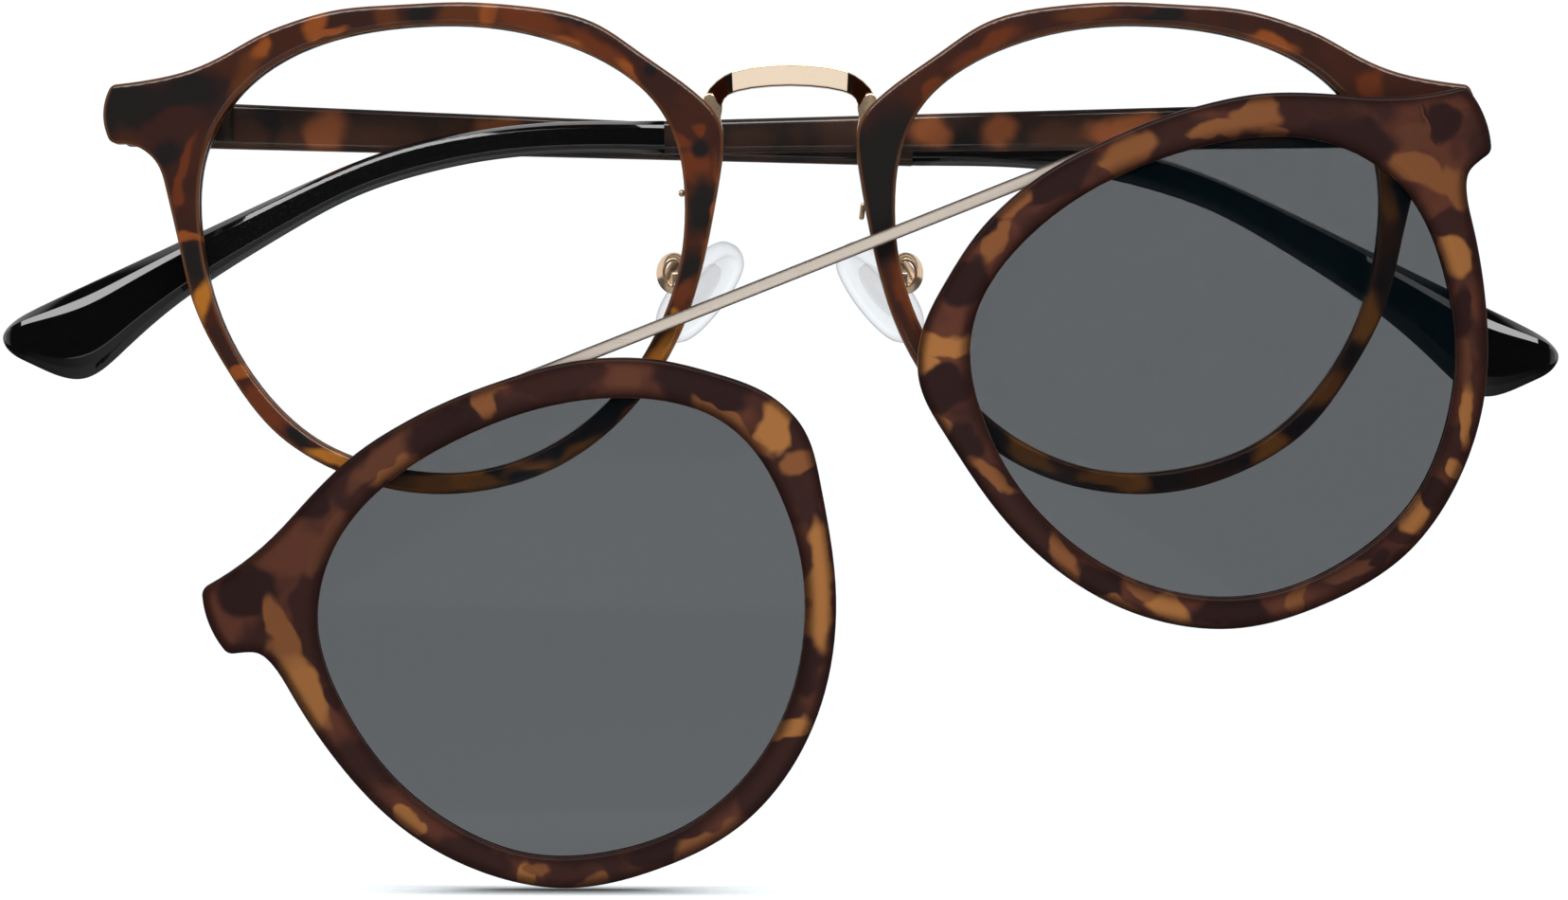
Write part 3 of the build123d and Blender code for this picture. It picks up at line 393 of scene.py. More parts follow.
def tortoiseMaterial(name, look):
    material, tree, shader = newMaterial(name)
    coords = addNode(tree, "ShaderNodeTexCoord").outputs
    tones = {tone: linear(*colour) for tone, colour in look["tones"].items()}
    deep, light = look["clouds"]
    clouds = placeGroup(tree, acetateClouds, {
        "Vector": coords["Object"], "Scale": look["cloudScale"], "Wander": look["wander"],
        "Deep": tones[deep], "Light": linear(*light)})
    colour = clouds["Colour"]
    grow = 1 / look["swell"] / mm
    for x, z, halfX, halfZ, turn, tone in look["patches"]:
        mask = placeGroup(tree, ovalPatch, {
            "Vector": clouds["Vector"], "Centre": (x * mm, 0.0, z * mm),
            "Turn": math.radians(turn), "Per Size": (grow / halfX, 0.0, grow / halfZ),
            "Soft": look["soft"]})["Mask"]
        colour = mixColour(tree, mask, colour, tones[tone])
    # Painted edge light and shade: edges turned from the front, as the Bevel node rounds them, take the edge tone
    edgeShadingBand = sideMask(tree, roundedNormal(tree, look["edgeShadingReach"]), 0.0, look["edgeShadingFade"])
    turned = sideMask(tree, coords["Normal"], *look["turned"])
    edgeShadingKept = ramp(tree, turned, 0.0, 1.0, look["edgeShadingShare"],
                look["edgeShadingShare"] * look["turnedShare"], soft=False)
    share = scalar(tree, "MULTIPLY", edgeShadingBand, edgeShadingKept)
    side = sideMask(tree, coords["Normal"], *look["coatFades"])
    facing = scalar(tree, "SUBTRACT", 1.0, side)
    wear = placeWear(tree, coords["Object"], look)
    finishSurface(tree, shader, wear, look["grain"])
    connect(tree, shader, {
        "Base Color": mixColour(tree, share, colour, linear(*look["edge"])),
        "Specular IOR Level": look["specular"],
        "Coat Weight": scalar(tree, "MULTIPLY", facing, look["coat"]),
        "Coat Roughness": look["coatRough"]})
    return material


tortoise = {name: tortoiseMaterial(name, plainAcetate | look)
            for name, look in tortoiseLooks.items()}
print("stage: tortoise")


# Plated metals; edges that turn from the front are painted darker, as painted dark reflections
plainMetal = {"scale": 900.0, "grainRun": (1.0, 1.0, 1.0), "grain": 0.03, "metallic": 1.0,
              "edgeShadingShare": 0.3, "edgeShadingReach": 0.1, "edgeShadingFade": 0.25}
metalLooks = {
    "champagneGold": {
        "colour": (245, 226, 202), "shade": (240, 220, 194), "rough": (0.03, 0.07), "scale": 500.0,
        "grain": 0.01, "edge": (128, 92, 62), "edgeShadingShare": 0.85, "edgeShadingReach": 0.28,
        "edgeShadingFade": 0.08},
    # The clip bar's finish: its edges are painted dark brown all round, a painted dark reflection
    "brushedGold": {
        "colour": (214, 203, 190), "shade": (211, 200, 187), "rough": (0.27, 0.31),
        "grainRun": (0.05, 1.0, 1.0), "grain": 0.01, "metallic": 0.35, "edge": (70, 52, 40),
        "edgeShadingShare": 1.0, "edgeShadingReach": 0.42, "edgeShadingFade": 0.06},
    "satinGold": {
        "colour": (244, 216, 184), "shade": (234, 204, 170), "rough": (0.14, 0.2), "grain": 0.02,
        "metallic": 0.8, "edge": (206, 166, 124)},
    "hingeMetal": {
        "colour": (118, 106, 92), "shade": (100, 90, 78), "rough": (0.22, 0.32), "grain": 0.04,
        "grainRun": (1.0, 1.0, 0.2), "edge": (96, 84, 70)},
    "screwGold": {
        "colour": (220, 194, 156), "shade": (204, 178, 140), "rough": (0.14, 0.22),
        "scale": 1500.0, "edge": (170, 140, 104)},
    "magnetNickel": {
        "colour": (190, 190, 194), "shade": (170, 170, 175), "rough": (0.12, 0.2),
        "scale": 1200.0, "edge": (140, 140, 144)},
    "coreWire": {
        "colour": (180, 178, 174), "shade": (160, 158, 154), "rough": (0.22, 0.3),
        "grainRun": (0.1, 1.0, 1.0), "edge": (130, 128, 124)},
}


def metalMaterial(name, look):
    material, tree, shader = newMaterial(name)
    run = addNode(tree, "ShaderNodeMapping", {"Vector": ownPlace(tree), "Scale": look["grainRun"]})
    wear = placeWear(tree, run.outputs["Vector"], look)
    tone = wornTone(tree, wear, look["colour"], look["shade"])
    # Painted dark reflection: edges turned from the front take the darker edge tone
    side = sideMask(tree, roundedNormal(tree, look["edgeShadingReach"]), 0.0, look["edgeShadingFade"])
    share = scalar(tree, "MULTIPLY", side, look["edgeShadingShare"])
    finishSurface(tree, shader, wear, look["grain"])
    connect(tree, shader, {"Base Color": mixColour(tree, share, tone, linear(*look["edge"])),
                           "Metallic": look["metallic"]})
    return material


metals = {name: metalMaterial(name, plainMetal | look) for name, look in metalLooks.items()}
print("stage: metals")

blackLook = {"colour": (5, 5, 5), "shade": (8, 8, 8), "scale": 260.0, "rough": (0.03, 0.06),
             "grain": 0.01, "specular": 0.56}


def blackMaterial(name, look):
    material, tree, shader = newMaterial(name)
    wear = placeWear(tree, ownPlace(tree), look)
    finishSurface(tree, shader, wear, look["grain"])
    connect(tree, shader, {"Base Color": wornTone(tree, wear, look["colour"], look["shade"]),
                           "Specular IOR Level": look["specular"]})
    return material


# Lenses and clear plastics let what is behind show through by their alpha; their rims are denser.
# Only the eye meets them: they throw no shade and don't show in other surfaces.
clearLooks = {
    "clearLens": {
        "colour": (236, 240, 242), "alpha": 0.001, "rim": 0.02, "blend": 0.15,
        "rough": (0.02, 0.04), "specular": 0.12, "scale": 60.0},
    "greyLens": {
        "colour": (3, 10, 14), "alpha": 0.66, "rim": 0.8, "blend": 0.15,
        "rough": (0.05, 0.08), "specular": 0.1, "scale": 60.0},
    "padCore": {
        "colour": (112, 66, 60), "alpha": 0.01, "rim": 0.6, "blend": 0.15,
        "rough": (0.05, 0.1), "specular": 0.5, "scale": 300.0},
    "clearSilicone": {
        "colour": (112, 66, 60), "alpha": 0.014, "rim": 0.95, "blend": 0.17,
        "rough": (0.04, 0.1), "specular": 0.6, "scale": 400.0},
}
clearShade = 0.97


def clearMaterial(name, look):
    material, tree, shader = newMaterial(name)
    wear = placeWear(tree, ownPlace(tree), look)
    shade = [value * clearShade for value in look["colour"]]
    away = addNode(tree, "ShaderNodeLayerWeight", {"Blend": look["blend"]}).outputs["Facing"]
    dense = ramp(tree, away, 0.0, 1.0, look["alpha"], look["rim"], soft=False)
    eyeRay = addNode(tree, "ShaderNodeLightPath").outputs["Is Camera Ray"]
    connect(tree, shader, {
        "Base Color": wornTone(tree, wear, look["colour"], shade),
        "Roughness": wear["Roughness"], "Specular IOR Level": look["specular"],
        "Alpha": scalar(tree, "MULTIPLY", dense, eyeRay)})
    return material


blackAcetate = blackMaterial("blackAcetate", blackLook)
clears = {name: clearMaterial(name, look) for name, look in clearLooks.items()}
finishes = {
    "front_tortoise": tortoise["frontTortoise"], "temple_tortoise": tortoise["templeTortoise"],
    "clip_tortoise": tortoise["clipTortoise"], "clear_lens": clears["clearLens"],
    "grey_lens": clears["greyLens"], "champagne_gold": metals["champagneGold"],
    "brushed_gold": metals["brushedGold"], "gold_screw": metals["screwGold"],
    "hinge_metal": metals["hingeMetal"], "magnet": metals["magnetNickel"],
    "clear_silicone": clears["clearSilicone"], "pad_core": clears["padCore"],
    "black_tip": blackAcetate, "core_wire": metals["coreWire"],
}
for part in frame["record"]["subparts"]:
    mesh = nodes[part["node"]].data
    mesh.materials.clear()
    mesh.materials.append(finishes[part["material_slot"]])
print("stage: finishes on the frame")


# New pieces are drawn in millimetres, with the crown of the front at depth 0 and the middles of
# its lenses at height 0; the frame's own origin is the nose seat
drawn = Matrix.Translation((0.0, -9.6 * mm, 4.1 * mm))
flipX = Matrix.Scale(-1, 4, (1, 0, 0))
bothSides = (("Right", drawn), ("Left", drawn @ flipX))


# A line through points that bends evenly, as a thin spline would, with so many steps a span
def smoothLine(points, steps):
    points = np.array(points, float)
    spans = np.linalg.norm(np.diff(points, axis=0), axis=1)
    knots = np.concatenate([[0.0], np.cumsum(np.sqrt(spans))])
    count = len(points)
    system = np.zeros((count, count))
    sides = np.zeros_like(points)
    system[0, 0] = system[-1, -1] = 1.0
    for i in range(1, count - 1):
        before, after = knots[i] - knots[i - 1], knots[i + 1] - knots[i]
        system[i, i - 1], system[i, i], system[i, i + 1] = before, 2 * (before + after), after
        sides[i] = 6 * ((points[i + 1] - points[i]) / after - (points[i] - points[i - 1]) / before)
    bends = np.linalg.solve(system, sides)
    line = []
    for i in range(count - 1):
        gap = knots[i + 1] - knots[i]
        for step in range(steps):
            b = step / steps
            a = 1 - b
            line.append(a * points[i] + b * points[i + 1] + gap * gap / 6 * (
                (a ** 3 - a) * bends[i] + (b ** 3 - b) * bends[i + 1]))
    line.append(points[-1])
    return np.array(line)


# The same round a closed outline
def closedLine(points, steps):
    points = [tuple(point) for point in points]
    wrap = 3
    line = smoothLine(points[-wrap:] + points + points[:wrap + 1], steps)
    return line[wrap * steps:(wrap + len(points)) * steps]


def addPiece(name, data):
    piece = bpy.data.objects.new(name, data)
    scene.collection.objects.link(piece)
    return piece


# How pieces are finished: welds in metres, angles in degrees, the form of rounded edges
pieceForm = {
    "weld": 1e-7, "copyWeld": 1e-6, "flat": 0.3, "shortEdge": 3, "plateSteps": 6,
    "plateEdge": 0.3, "crease": 40, "copyCrease": 25, "blockCrease": 30,
}
roundEdge = {"segments": 3, "profile": 0.5, "affect": "EDGES"}


# Writes a form into its mesh, shaded smooth but for edges sharper than so many degrees
def formPiece(mesh, form, material, crease):
    form.to_mesh(mesh)
    form.free()
    mesh.materials.clear()
    mesh.materials.append(material)
    for face in mesh.polygons:
        face.use_smooth = True
    mesh.set_sharp_from_angle(angle=math.radians(crease))
    return addPiece(mesh.name, mesh)


def meshPiece(name, points, faces, place, material, crease=pieceForm["crease"]):
    mesh = bpy.data.meshes.new(name)
    mesh.from_pydata([place @ (Vector(point) * mm) for point in points], [], faces)
    form = bmesh.new()
    form.from_mesh(mesh)
    bmesh.ops.remove_doubles(form, verts=form.verts, dist=pieceForm["weld"])
    bmesh.ops.recalc_face_normals(form, faces=form.faces)
    return formPiece(mesh, form, material, crease)


# Quads between rings of points, with a cap at each end
def ringFaces(rings, size):
    faces = [(low + i, low + (i + 1) % size, low + size + (i + 1) % size, low + size + i)
             for low in range(0, (rings - 1) * size, size) for i in range(size)]
    return faces + [tuple(reversed(range(size))), tuple(range((rings - 1) * size, rings * size))]


def settle(piece, body, slot, *stoodFor):
    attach(piece, body)
    if stoodFor:
        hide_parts(*stoodFor)


# Turns a piece with modifiers into a plain mesh
def freeze(piece):
    shown = piece.evaluated_get(bpy.context.evaluated_depsgraph_get())
    piece.data = bpy.data.meshes.new_from_object(shown)
    piece.modifiers.clear()


# Temple tips, domed on both faces; drawn along X from the hinge as the arm lies folded
tip = {
    "start": 77.0, "length": 66.6, "drop": 23.1, "seamHeight": 3.3, "thickness": 2.8,
    "inset": 0.75, "endRound": 0.955, "crown": 0.05, "facetFrom": 0.54, "facetTo": 0.75,
    "facetSlope": 25.0, "facetDeepest": 0.8, "topBend": 0.85, "seamTo": 0.05, "seamShare": 0.25,
    "endRun": 1.1, "probe": 0.5, "lastShare": 0.99995, "leastThick": 0.0004, "steps": 40,
    "shares": [1.0, 0.99, 0.97, 0.94, 0.9, 0.85, 0.8, 0.76, 0.745, 0.735, 0.7, 0.64, 0.56, 0.545,
               0.535, 0.48, 0.3, 0.0],
    "upper": [(0.135, -0.078), (0.23, -0.064), (0.345, -0.018), (0.46, 0.075), (0.62, 0.268),
              (0.735, 0.416), (0.85, 0.563), (0.945, 0.685), (0.985, 0.75), (1.0, 0.815)],
    "lower": [(0.988, 0.88), (0.955, 0.935), (0.885, 1.0), (0.82, 0.885), (0.73, 0.67),
              (0.581, 0.403), (0.46, 0.225), (0.345, 0.126), (0.245, 0.078), (0.13, 0.062)],
    "stations": 150, "stationBend": 0.9,
}
arms = {"left": {"droop": 1.8, "turn": 3.0}, "right": {"droop": 1.1, "turn": -1.2}}


# Where an arm drawn along X lies: at its hinge, drooped and turned, mirrored on the right
def armPlace(side, arm):
    hinge = Matrix.Translation(Vector(joints[side + "_temple_hinge"]["pos_m"]))
    place = (Matrix.Rotation(math.radians(arm["turn"]), 4, "Z")
             @ Matrix.Rotation(math.radians(arm["droop"]), 4, "Y"))
    return hinge @ flipX @ place if side == "right" else hinge @ place


# How far the face of a tip has dropped from its crown at a share of its half height: nearly
# flat, then a facet along the edge, then a steep turn to the middle
def faceDrop(share, half, thick):
    crown = tip["crown"] * min(share / tip["facetFrom"], 1.0) ** 2
    facet = min(max(share - tip["facetFrom"], 0.0), tip["facetTo"] - tip["facetFrom"])
    drop = min(crown + facet * half * math.tan(math.radians(tip["facetSlope"])),
               thick * tip["facetDeepest"])
    left = max(share - tip["facetTo"], 0.0) / (1 - tip["facetTo"])
    return drop + (thick - drop) * (1 - (1 - left) ** tip["topBend"])


def edgeAt(edge, x):
    return np.interp(x, edge[:, 0], edge[:, 1])


# The tip in rings from its seam to its end, close together where the end turns round
def tipPoints():
    outline = [(0.0, tip["seamHeight"] / 2)]
    outline += [(x * tip["length"], -z * tip["drop"]) for x, z in tip["upper"] + tip["lower"]]
    outline.append((0.0, -tip["seamHeight"] / 2))
    line = smoothLine(outline, tip["steps"])
    far = int(np.argmax(line[:, 0]))
    upper, lower = line[:far + 1], line[far:][::-1]
    reach = line[far, 0]
    middle = tip["inset"] + tip["thickness"] / 2
    ring = tip["shares"] + [-share for share in reversed(tip["shares"][:-1])]
    points = []
    for station in range(tip["stations"]):
        share = math.sin(station / (tip["stations"] - 1) * math.pi / 2) ** tip["stationBend"]
        x = min(share, tip["lastShare"]) * reach
        high, low = edgeAt(upper, x), edgeAt(lower, x)
        half = (high - low) / 2
        run = math.hypot(tip["probe"], edgeAt(upper, x + tip["probe"]) - high) / tip["probe"]
        upright = half / run if share < tip["endRound"] else half / tip["endRun"]
        left = max(share - tip["endRound"], 0.0) / (1 - tip["endRound"])
        thick = tip["thickness"] / 2 * math.sqrt(max(1 - left * left, tip["leastThick"]))
        grow = min(share / tip["seamTo"], 1.0)
        for face, shares in ((-1, ring), (1, ring[::-1][1:-1])):
            for up in shares:
                drop = faceDrop(abs(up), upright, thick) * grow + (
                    faceDrop(abs(up), upright, thick * tip["seamShare"]) * (1 - grow))
                points.append((tip["start"] + x, middle + face * (thick - drop),
                               (high + low) / 2 + up * half))
    return points, 2 * len(ring) - 2


points, ringSize = tipPoints()
for side, arm in arms.items():
    piece = meshPiece("templeTip" + side.title(), points, ringFaces(tip["stations"], ringSize),
                      armPlace(side, arm), blackAcetate)
    settle(piece, side + "_temple", "black_tip", "temple_tip_" + side)
print("stage: temple tips")


# Bridge: a bar whose flat front leans forward a little and is cut in facets at both ends.
# Each station is the bar's upper and lower edge, its depth, and its lean over its height.
bridge = {
    "stations": [
        ((0.0, 18.25), (0.0, 16.15), 2.3, 0.34), ((2.0, 18.17), (1.97, 16.08), 2.31, 0.34),
        ((3.8, 17.97), (3.75, 15.9), 2.33, 0.34), ((5.2, 17.66), (5.15, 15.62), 2.36, 0.34),
        ((5.75, 17.5), (5.65, 15.46), 2.38, 0.34),
        ((6.45, 17.2), (6.12, 15.26), 2.7, 0.16), ((7.25, 16.7), (6.52, 14.9), 3.34, -0.25),
        ((8.0, 16.0), (6.75, 14.4), 4.05, -0.5), ((8.5, 15.1), (6.85, 13.8), 4.75, -0.5),
    ],
    "legs": [(8.08, 15.5), (8.9, 14.2), (9.4, 12.0), (10.0, 9.5), (10.1, 7.4), (8.9, 6.7),
             (7.7, 7.4), (6.88, 9.6), (6.6, 11.6), (6.85, 13.2), (6.75, 14.5)],
    "back": 5.35, "barDepth": 1.9, "legFront": 4.15, "sheet": 1.2, "edge": 0.16, "bevel": 0.13,
    "crease": 9,
    "round": [(0.0, 1.0), (0.08, 0.62), (0.3, 0.3), (0.62, 0.08), (1.0, 0.0)],
}


def barPoints():
    half = bridge["stations"]
    stations = [((-u[0], u[1]), (-l[0], l[1]), d, n) for u, l, d, n in reversed(half[1:])] + half
    points = []
    for upper, lower, depth, lean in stations:
        back = min(depth + bridge["barDepth"], bridge["back"])
        height = math.dist(upper, lower)
        section = []
        for inset, setBack in bridge["round"]:
            share = 1 - 2 * inset * bridge["bevel"] / height
            section.append((share, depth - lean * share / 2 + setBack * bridge["bevel"]))
        section += [(-share, near + lean * share) for share, near in reversed(section)]
        section += [(-1.0, back), (1.0, back)]
        for share, near in section:
            points.append(((upper[0] + lower[0]) / 2 + share * (upper[0] - lower[0]) / 2, near,
                           (upper[1] + lower[1]) / 2 + share * (upper[1] - lower[1]) / 2))
    return points, len(stations)


# A flat plate with softened edges, from its outline as the front shows it
def platePiece(name, outline, near, deep, edge, place, material):
    line = closedLine(outline, pieceForm["plateSteps"])
    tangent = np.roll(line, -1, axis=0) - np.roll(line, 1, axis=0)
    normal = np.stack([tangent[:, 1], -tangent[:, 0]], axis=1)
    normal /= np.linalg.norm(normal, axis=1)[:, None]
    if ((line - line.mean(axis=0)) * normal).sum() < 0:
        normal = -normal
    middle = edge * pieceForm["plateEdge"]
    rings = [(edge, 0.0), (middle, middle), (0.0, edge), (0.0, deep - edge),
             (middle, deep - middle), (edge, deep)]
    points = []
    for inset, depth in rings:
        points += [(x, near + depth, z) for x, z in line - normal * inset]
    return meshPiece(name, points, ringFaces(len(rings), len(line)), place, material)


points, stationCount = barPoints()
bar = meshPiece("bridgeBar", points, ringFaces(stationCount, len(points) // stationCount), drawn,
                metals["champagneGold"], bridge["crease"])
settle(bar, "front", "champagne_gold", "bridge")
for side, place in bothSides:
    leg = platePiece("bridgeLeg" + side, bridge["legs"], bridge["legFront"], bridge["sheet"],
                     bridge["edge"], place, metals["satinGold"])
    settle(leg, "front", "champagne_gold")
print("stage: bridge")


# The clip's bar again with rounded long edges, which its finish paints darker as a painted dark reflection
def bevelledCopy(name, source, angle, edge, material):
    mesh = nodes[source].data.copy()
    mesh.name = name
    form = bmesh.new()
    form.from_mesh(mesh)
    bmesh.ops.remove_doubles(form, verts=form.verts, dist=pieceForm["copyWeld"])
    bmesh.ops.dissolve_limit(form, angle_limit=math.radians(pieceForm["flat"]),
                             verts=form.verts, edges=form.edges)
    sharp = [line for line in form.edges if line.is_manifold
             and line.calc_face_angle() > math.radians(angle)
             and line.calc_length() > pieceForm["shortEdge"] * edge * mm]
    bmesh.ops.bevel(form, geom=sharp, offset=edge * mm, clamp_overlap=True, **roundEdge)
    return formPiece(mesh, form, material, pieceForm["copyCrease"])


clipBarLook = {"sharpFrom": 50, "edge": 0.16}
clipBar = bevelledCopy("clipBarSoft", "clip_bar", clipBarLook["sharpFrom"], clipBarLook["edge"],
                       metals["brushedGold"])
settle(clipBar, "clip", "brushed_gold", "clip_bar")
print("stage: clip bar")


# A ribbon swept along a closed or open path, its width leaning outwards from a centre
def makeRibbonTree():
    tree, given, made = newGroup("ribbonAlongPath", [
        ("Path", "Geometry"), ("Centre", "Vector"), ("Flare", "Float"),
        ("Width", "Float"), ("Thickness", "Float"), ("Edge", "Float"),
        ("Material", "Material")], [("Ribbon", "Geometry")], "GeometryNodeTree")
    place = addNode(tree, "GeometryNodeInputPosition").outputs[0]
    away = vector(tree, "SUBTRACT", place, given["Centre"])
    out = addNode(tree, "ShaderNodeVectorMath", {0: away}, operation="NORMALIZE").outputs[0]
    lean = scaled(tree, out, given["Flare"])
    line = addNode(tree, "GeometryNodeMeshToCurve", {"Mesh": given["Path"]}).outputs[0]
    line = addNode(tree, "GeometryNodeSetCurveNormal", {
        "Curve": line, "Normal": vector(tree, "ADD", lean, (0.0, 1.0, 0.0))},
        mode="FREE").outputs[0]
    shape = addNode(tree, "GeometryNodeCurvePrimitiveQuadrilateral", {
        "Width": given["Width"], "Height": given["Thickness"]}).outputs[0]
    shape = addNode(tree, "GeometryNodeFilletCurve", {
        "Curve": shape, "Count": roundEdge["segments"], "Radius": given["Edge"]},
        mode="POLY").outputs[0]
    solid = addNode(tree, "GeometryNodeCurveToMesh", {
        "Curve": line, "Profile Curve": shape, "Fill Caps": True}).outputs[0]
    solid = addNode(tree, "GeometryNodeRealizeInstances", {0: solid}).outputs[0]
    solid = addNode(tree, "GeometryNodeSetMaterial", {
        0: solid, "Material": given["Material"]}).outputs[0]
    tree.links.new(solid, made["Ribbon"])
    return tree


def ribbonPiece(name, points, centre, look, place, material):
    mesh = bpy.data.meshes.new(name)
    edges = [(i, i + 1) for i in range(len(points) - 1)]
    mesh.from_pydata([place @ (Vector(point) * mm) for point in points], edges, [])
    piece = addPiece(name, mesh)
    modifier = piece.modifiers.new("ribbon", "NODES")
    modifier.node_group = ribbonTree
    settings = {"Centre": place @ (Vector(centre) * mm), "Flare": look["flare"],
                "Width": look["width"] * mm, "Thickness": look["thickness"] * mm,
                "Edge": look["edge"] * mm, "Material": material}
    for socket in ribbonTree.interface.items_tree:
        if socket.name in settings and socket.in_out == "INPUT":
            modifier[socket.identifier] = settings[socket.name]
    freeze(piece)
    piece.data.set_sharp_from_angle(angle=math.radians(pieceForm["crease"]))
    return piece


# A block with rounded edges
def blockPiece(name, size, edge, place, material):
    form = bmesh.new()
    bmesh.ops.create_cube(form, size=mm)
    bmesh.ops.scale(form, vec=size, verts=form.verts)
    bmesh.ops.bevel(form, geom=form.edges, offset=edge * mm, **roundEdge)
    form.transform(place)
    bmesh.ops.recalc_face_normals(form, faces=form.faces)
    return formPiece(bpy.data.meshes.new(name), form, material, pieceForm["blockCrease"])


# Pad arms: a plate behind the rim, a flared ribbon loop beside the lens, a post and a box with
# two walls and a link; one arm also has a tab and one a pin
padArm = {
    "plate": [(9.1, 5.9), (9.95, 5.6), (10.2, 4.6), (10.25, 2.0), (10.2, -0.6), (9.3, -1.0),
              (8.7, -0.5), (8.0, 2.4), (7.8, 4.6), (8.2, 5.6)],
    "plateFront": 4.15, "sheet": 1.2, "plateEdge": 0.2,
    "centre": (11.55, 5.75, -2.3), "radius": (1.3, 1.62), "from": 28.0, "to": 332.0, "steps": 72,
    "ribbon": {"flare": 0.5, "width": 1.5, "thickness": 0.34, "edge": 0.1},
    "post": ((11.36, 6.1, -3.0), (0.9, 2.6, 1.6)), "postEdge": 0.25,
    "boxSize": (0.42, 2.1, 2.5), "boxReach": 1.1, "boxBack": -3.2, "boxEdge": 0.16,
    "linkSize": (2.6, 0.42, 2.5), "linkBack": -4.05,
    "pin": (-10.72, 4.7, 5.6), "pinRadius": 0.36, "pinRings": (32, 16),
    "tab": ((7.2, 4.75, 3.8), (0.55, 1.1, 1.7)), "tabTurn": 8.0,
}
# Nose pads: an outline in shares of the half sizes; the section has shares of it and depths
pad = {
    "length": 11.8, "width": 7.2, "inset": 1.35, "drop": 4.1, "depth": 9.6, "splay": 50.0,
    "lean": 38.0, "nasalEdge": 10.4, "steps": 8, "crease": 50,
    "outline": [(0.0, 1.0), (0.6, 0.86), (0.93, 0.4), (1.0, -0.1), (0.86, -0.6), (0.5, -0.91),
                (0.0, -1.0), (-0.5, -0.91), (-0.86, -0.6), (-1.0, -0.1), (-0.93, 0.4),
                (-0.6, 0.86)],
    "section": [(0.7, -1.0), (0.88, -0.86), (0.97, -0.5), (1.0, 0.0), (0.975, 0.45),
                (0.91, 0.85), (0.83, 1.0), (0.75, 0.98), (0.69, 0.8), (0.64, 0.7), (0.56, 0.68),
                (0.4, 0.7), (0.2, 0.72)],
}


# The left pad's own frame: Y out of its face, Z along it, X across it
def padPlace():
    spread = pad["nasalEdge"] - pad["inset"]
    return (Matrix.Translation(Vector((-spread, pad["depth"], -pad["drop"])) * mm)
            @ Matrix.Rotation(math.radians(pad["lean"]), 4, "Y")
            @ Matrix.Rotation(math.radians(-pad["splay"]), 4, "Z"))


def padPoints():
    line = closedLine([(x * pad["width"] / 2, z * pad["length"] / 2) for x, z in pad["outline"]],
                      pad["steps"])
    points = []
    for share, depth in pad["section"]:
        points += [(x * share, depth, z * (1 - (1 - share) * pad["width"] / pad["length"]))
                   for x, z in line]
    return points, len(line)


def loopPoints():
    x, y, z = padArm["centre"]
    wide, high = padArm["radius"]
    angles = np.radians(np.linspace(padArm["from"], padArm["to"], padArm["steps"] + 1))
    return [(x - wide * math.cos(angle), y, z + high * math.sin(angle)) for angle in angles]


ribbonTree = makeRibbonTree()
gold = metals["satinGold"]


# A gold block about its middle, turned so many degrees from upright
def goldBlock(name, size, edge, place, middle, turn=0.0):
    block = blockPiece(name, size, edge, place @ Matrix.Translation(Vector(middle) * mm)
                       @ Matrix.Rotation(math.radians(turn), 4, "Y"), gold)
    settle(block, "front", "champagne_gold")


for side, place in bothSides:
    plate = platePiece("padPlate" + side, padArm["plate"], padArm["plateFront"],
                       padArm["sheet"], padArm["plateEdge"], place, gold)
    settle(plate, "front", "champagne_gold", "pad_arm_" + side.lower())
    loop = ribbonPiece("padLoop" + side, loopPoints(), padArm["centre"], padArm["ribbon"],
                       place, gold)
    settle(loop, "front", "champagne_gold")
    middle, size = padArm["post"]
    goldBlock("padPost" + side, size, padArm["postEdge"], place, middle)
    own = place @ flipX @ padPlace()
    for wall, reach in (("Near", -padArm["boxReach"]), ("Far", padArm["boxReach"])):
        goldBlock("padBox" + wall + side, padArm["boxSize"], padArm["boxEdge"], own,
                  (reach, padArm["boxBack"], 0))
    goldBlock("padBoxLink" + side, padArm["linkSize"], padArm["boxEdge"], own,
              (0, padArm["linkBack"], 0))
    points, ringSize = padPoints()
    soft = meshPiece("nosePad" + side, points, ringFaces(len(pad["section"]), ringSize), own,
                     clears["clearSilicone"], pad["crease"])
    settle(soft, side.lower() + "_nose_pad", "clear_silicone", "nose_pad_" + side.lower())
middle, size = padArm["tab"]
goldBlock("padArmTab", size, padArm["postEdge"], drawn, middle, padArm["tabTurn"])
pinForm = bmesh.new()
bmesh.ops.create_uvsphere(pinForm, u_segments=padArm["pinRings"][0],
                          v_segments=padArm["pinRings"][1], radius=padArm["pinRadius"] * mm)
pinForm.transform(drawn @ Matrix.Translation(Vector(padArm["pin"]) * mm))
pin = formPiece(bpy.data.meshes.new("padArmPin"), pinForm, gold, pieceForm["crease"])
settle(pin, "front", "champagne_gold")
print("stage: pad arms and pads")


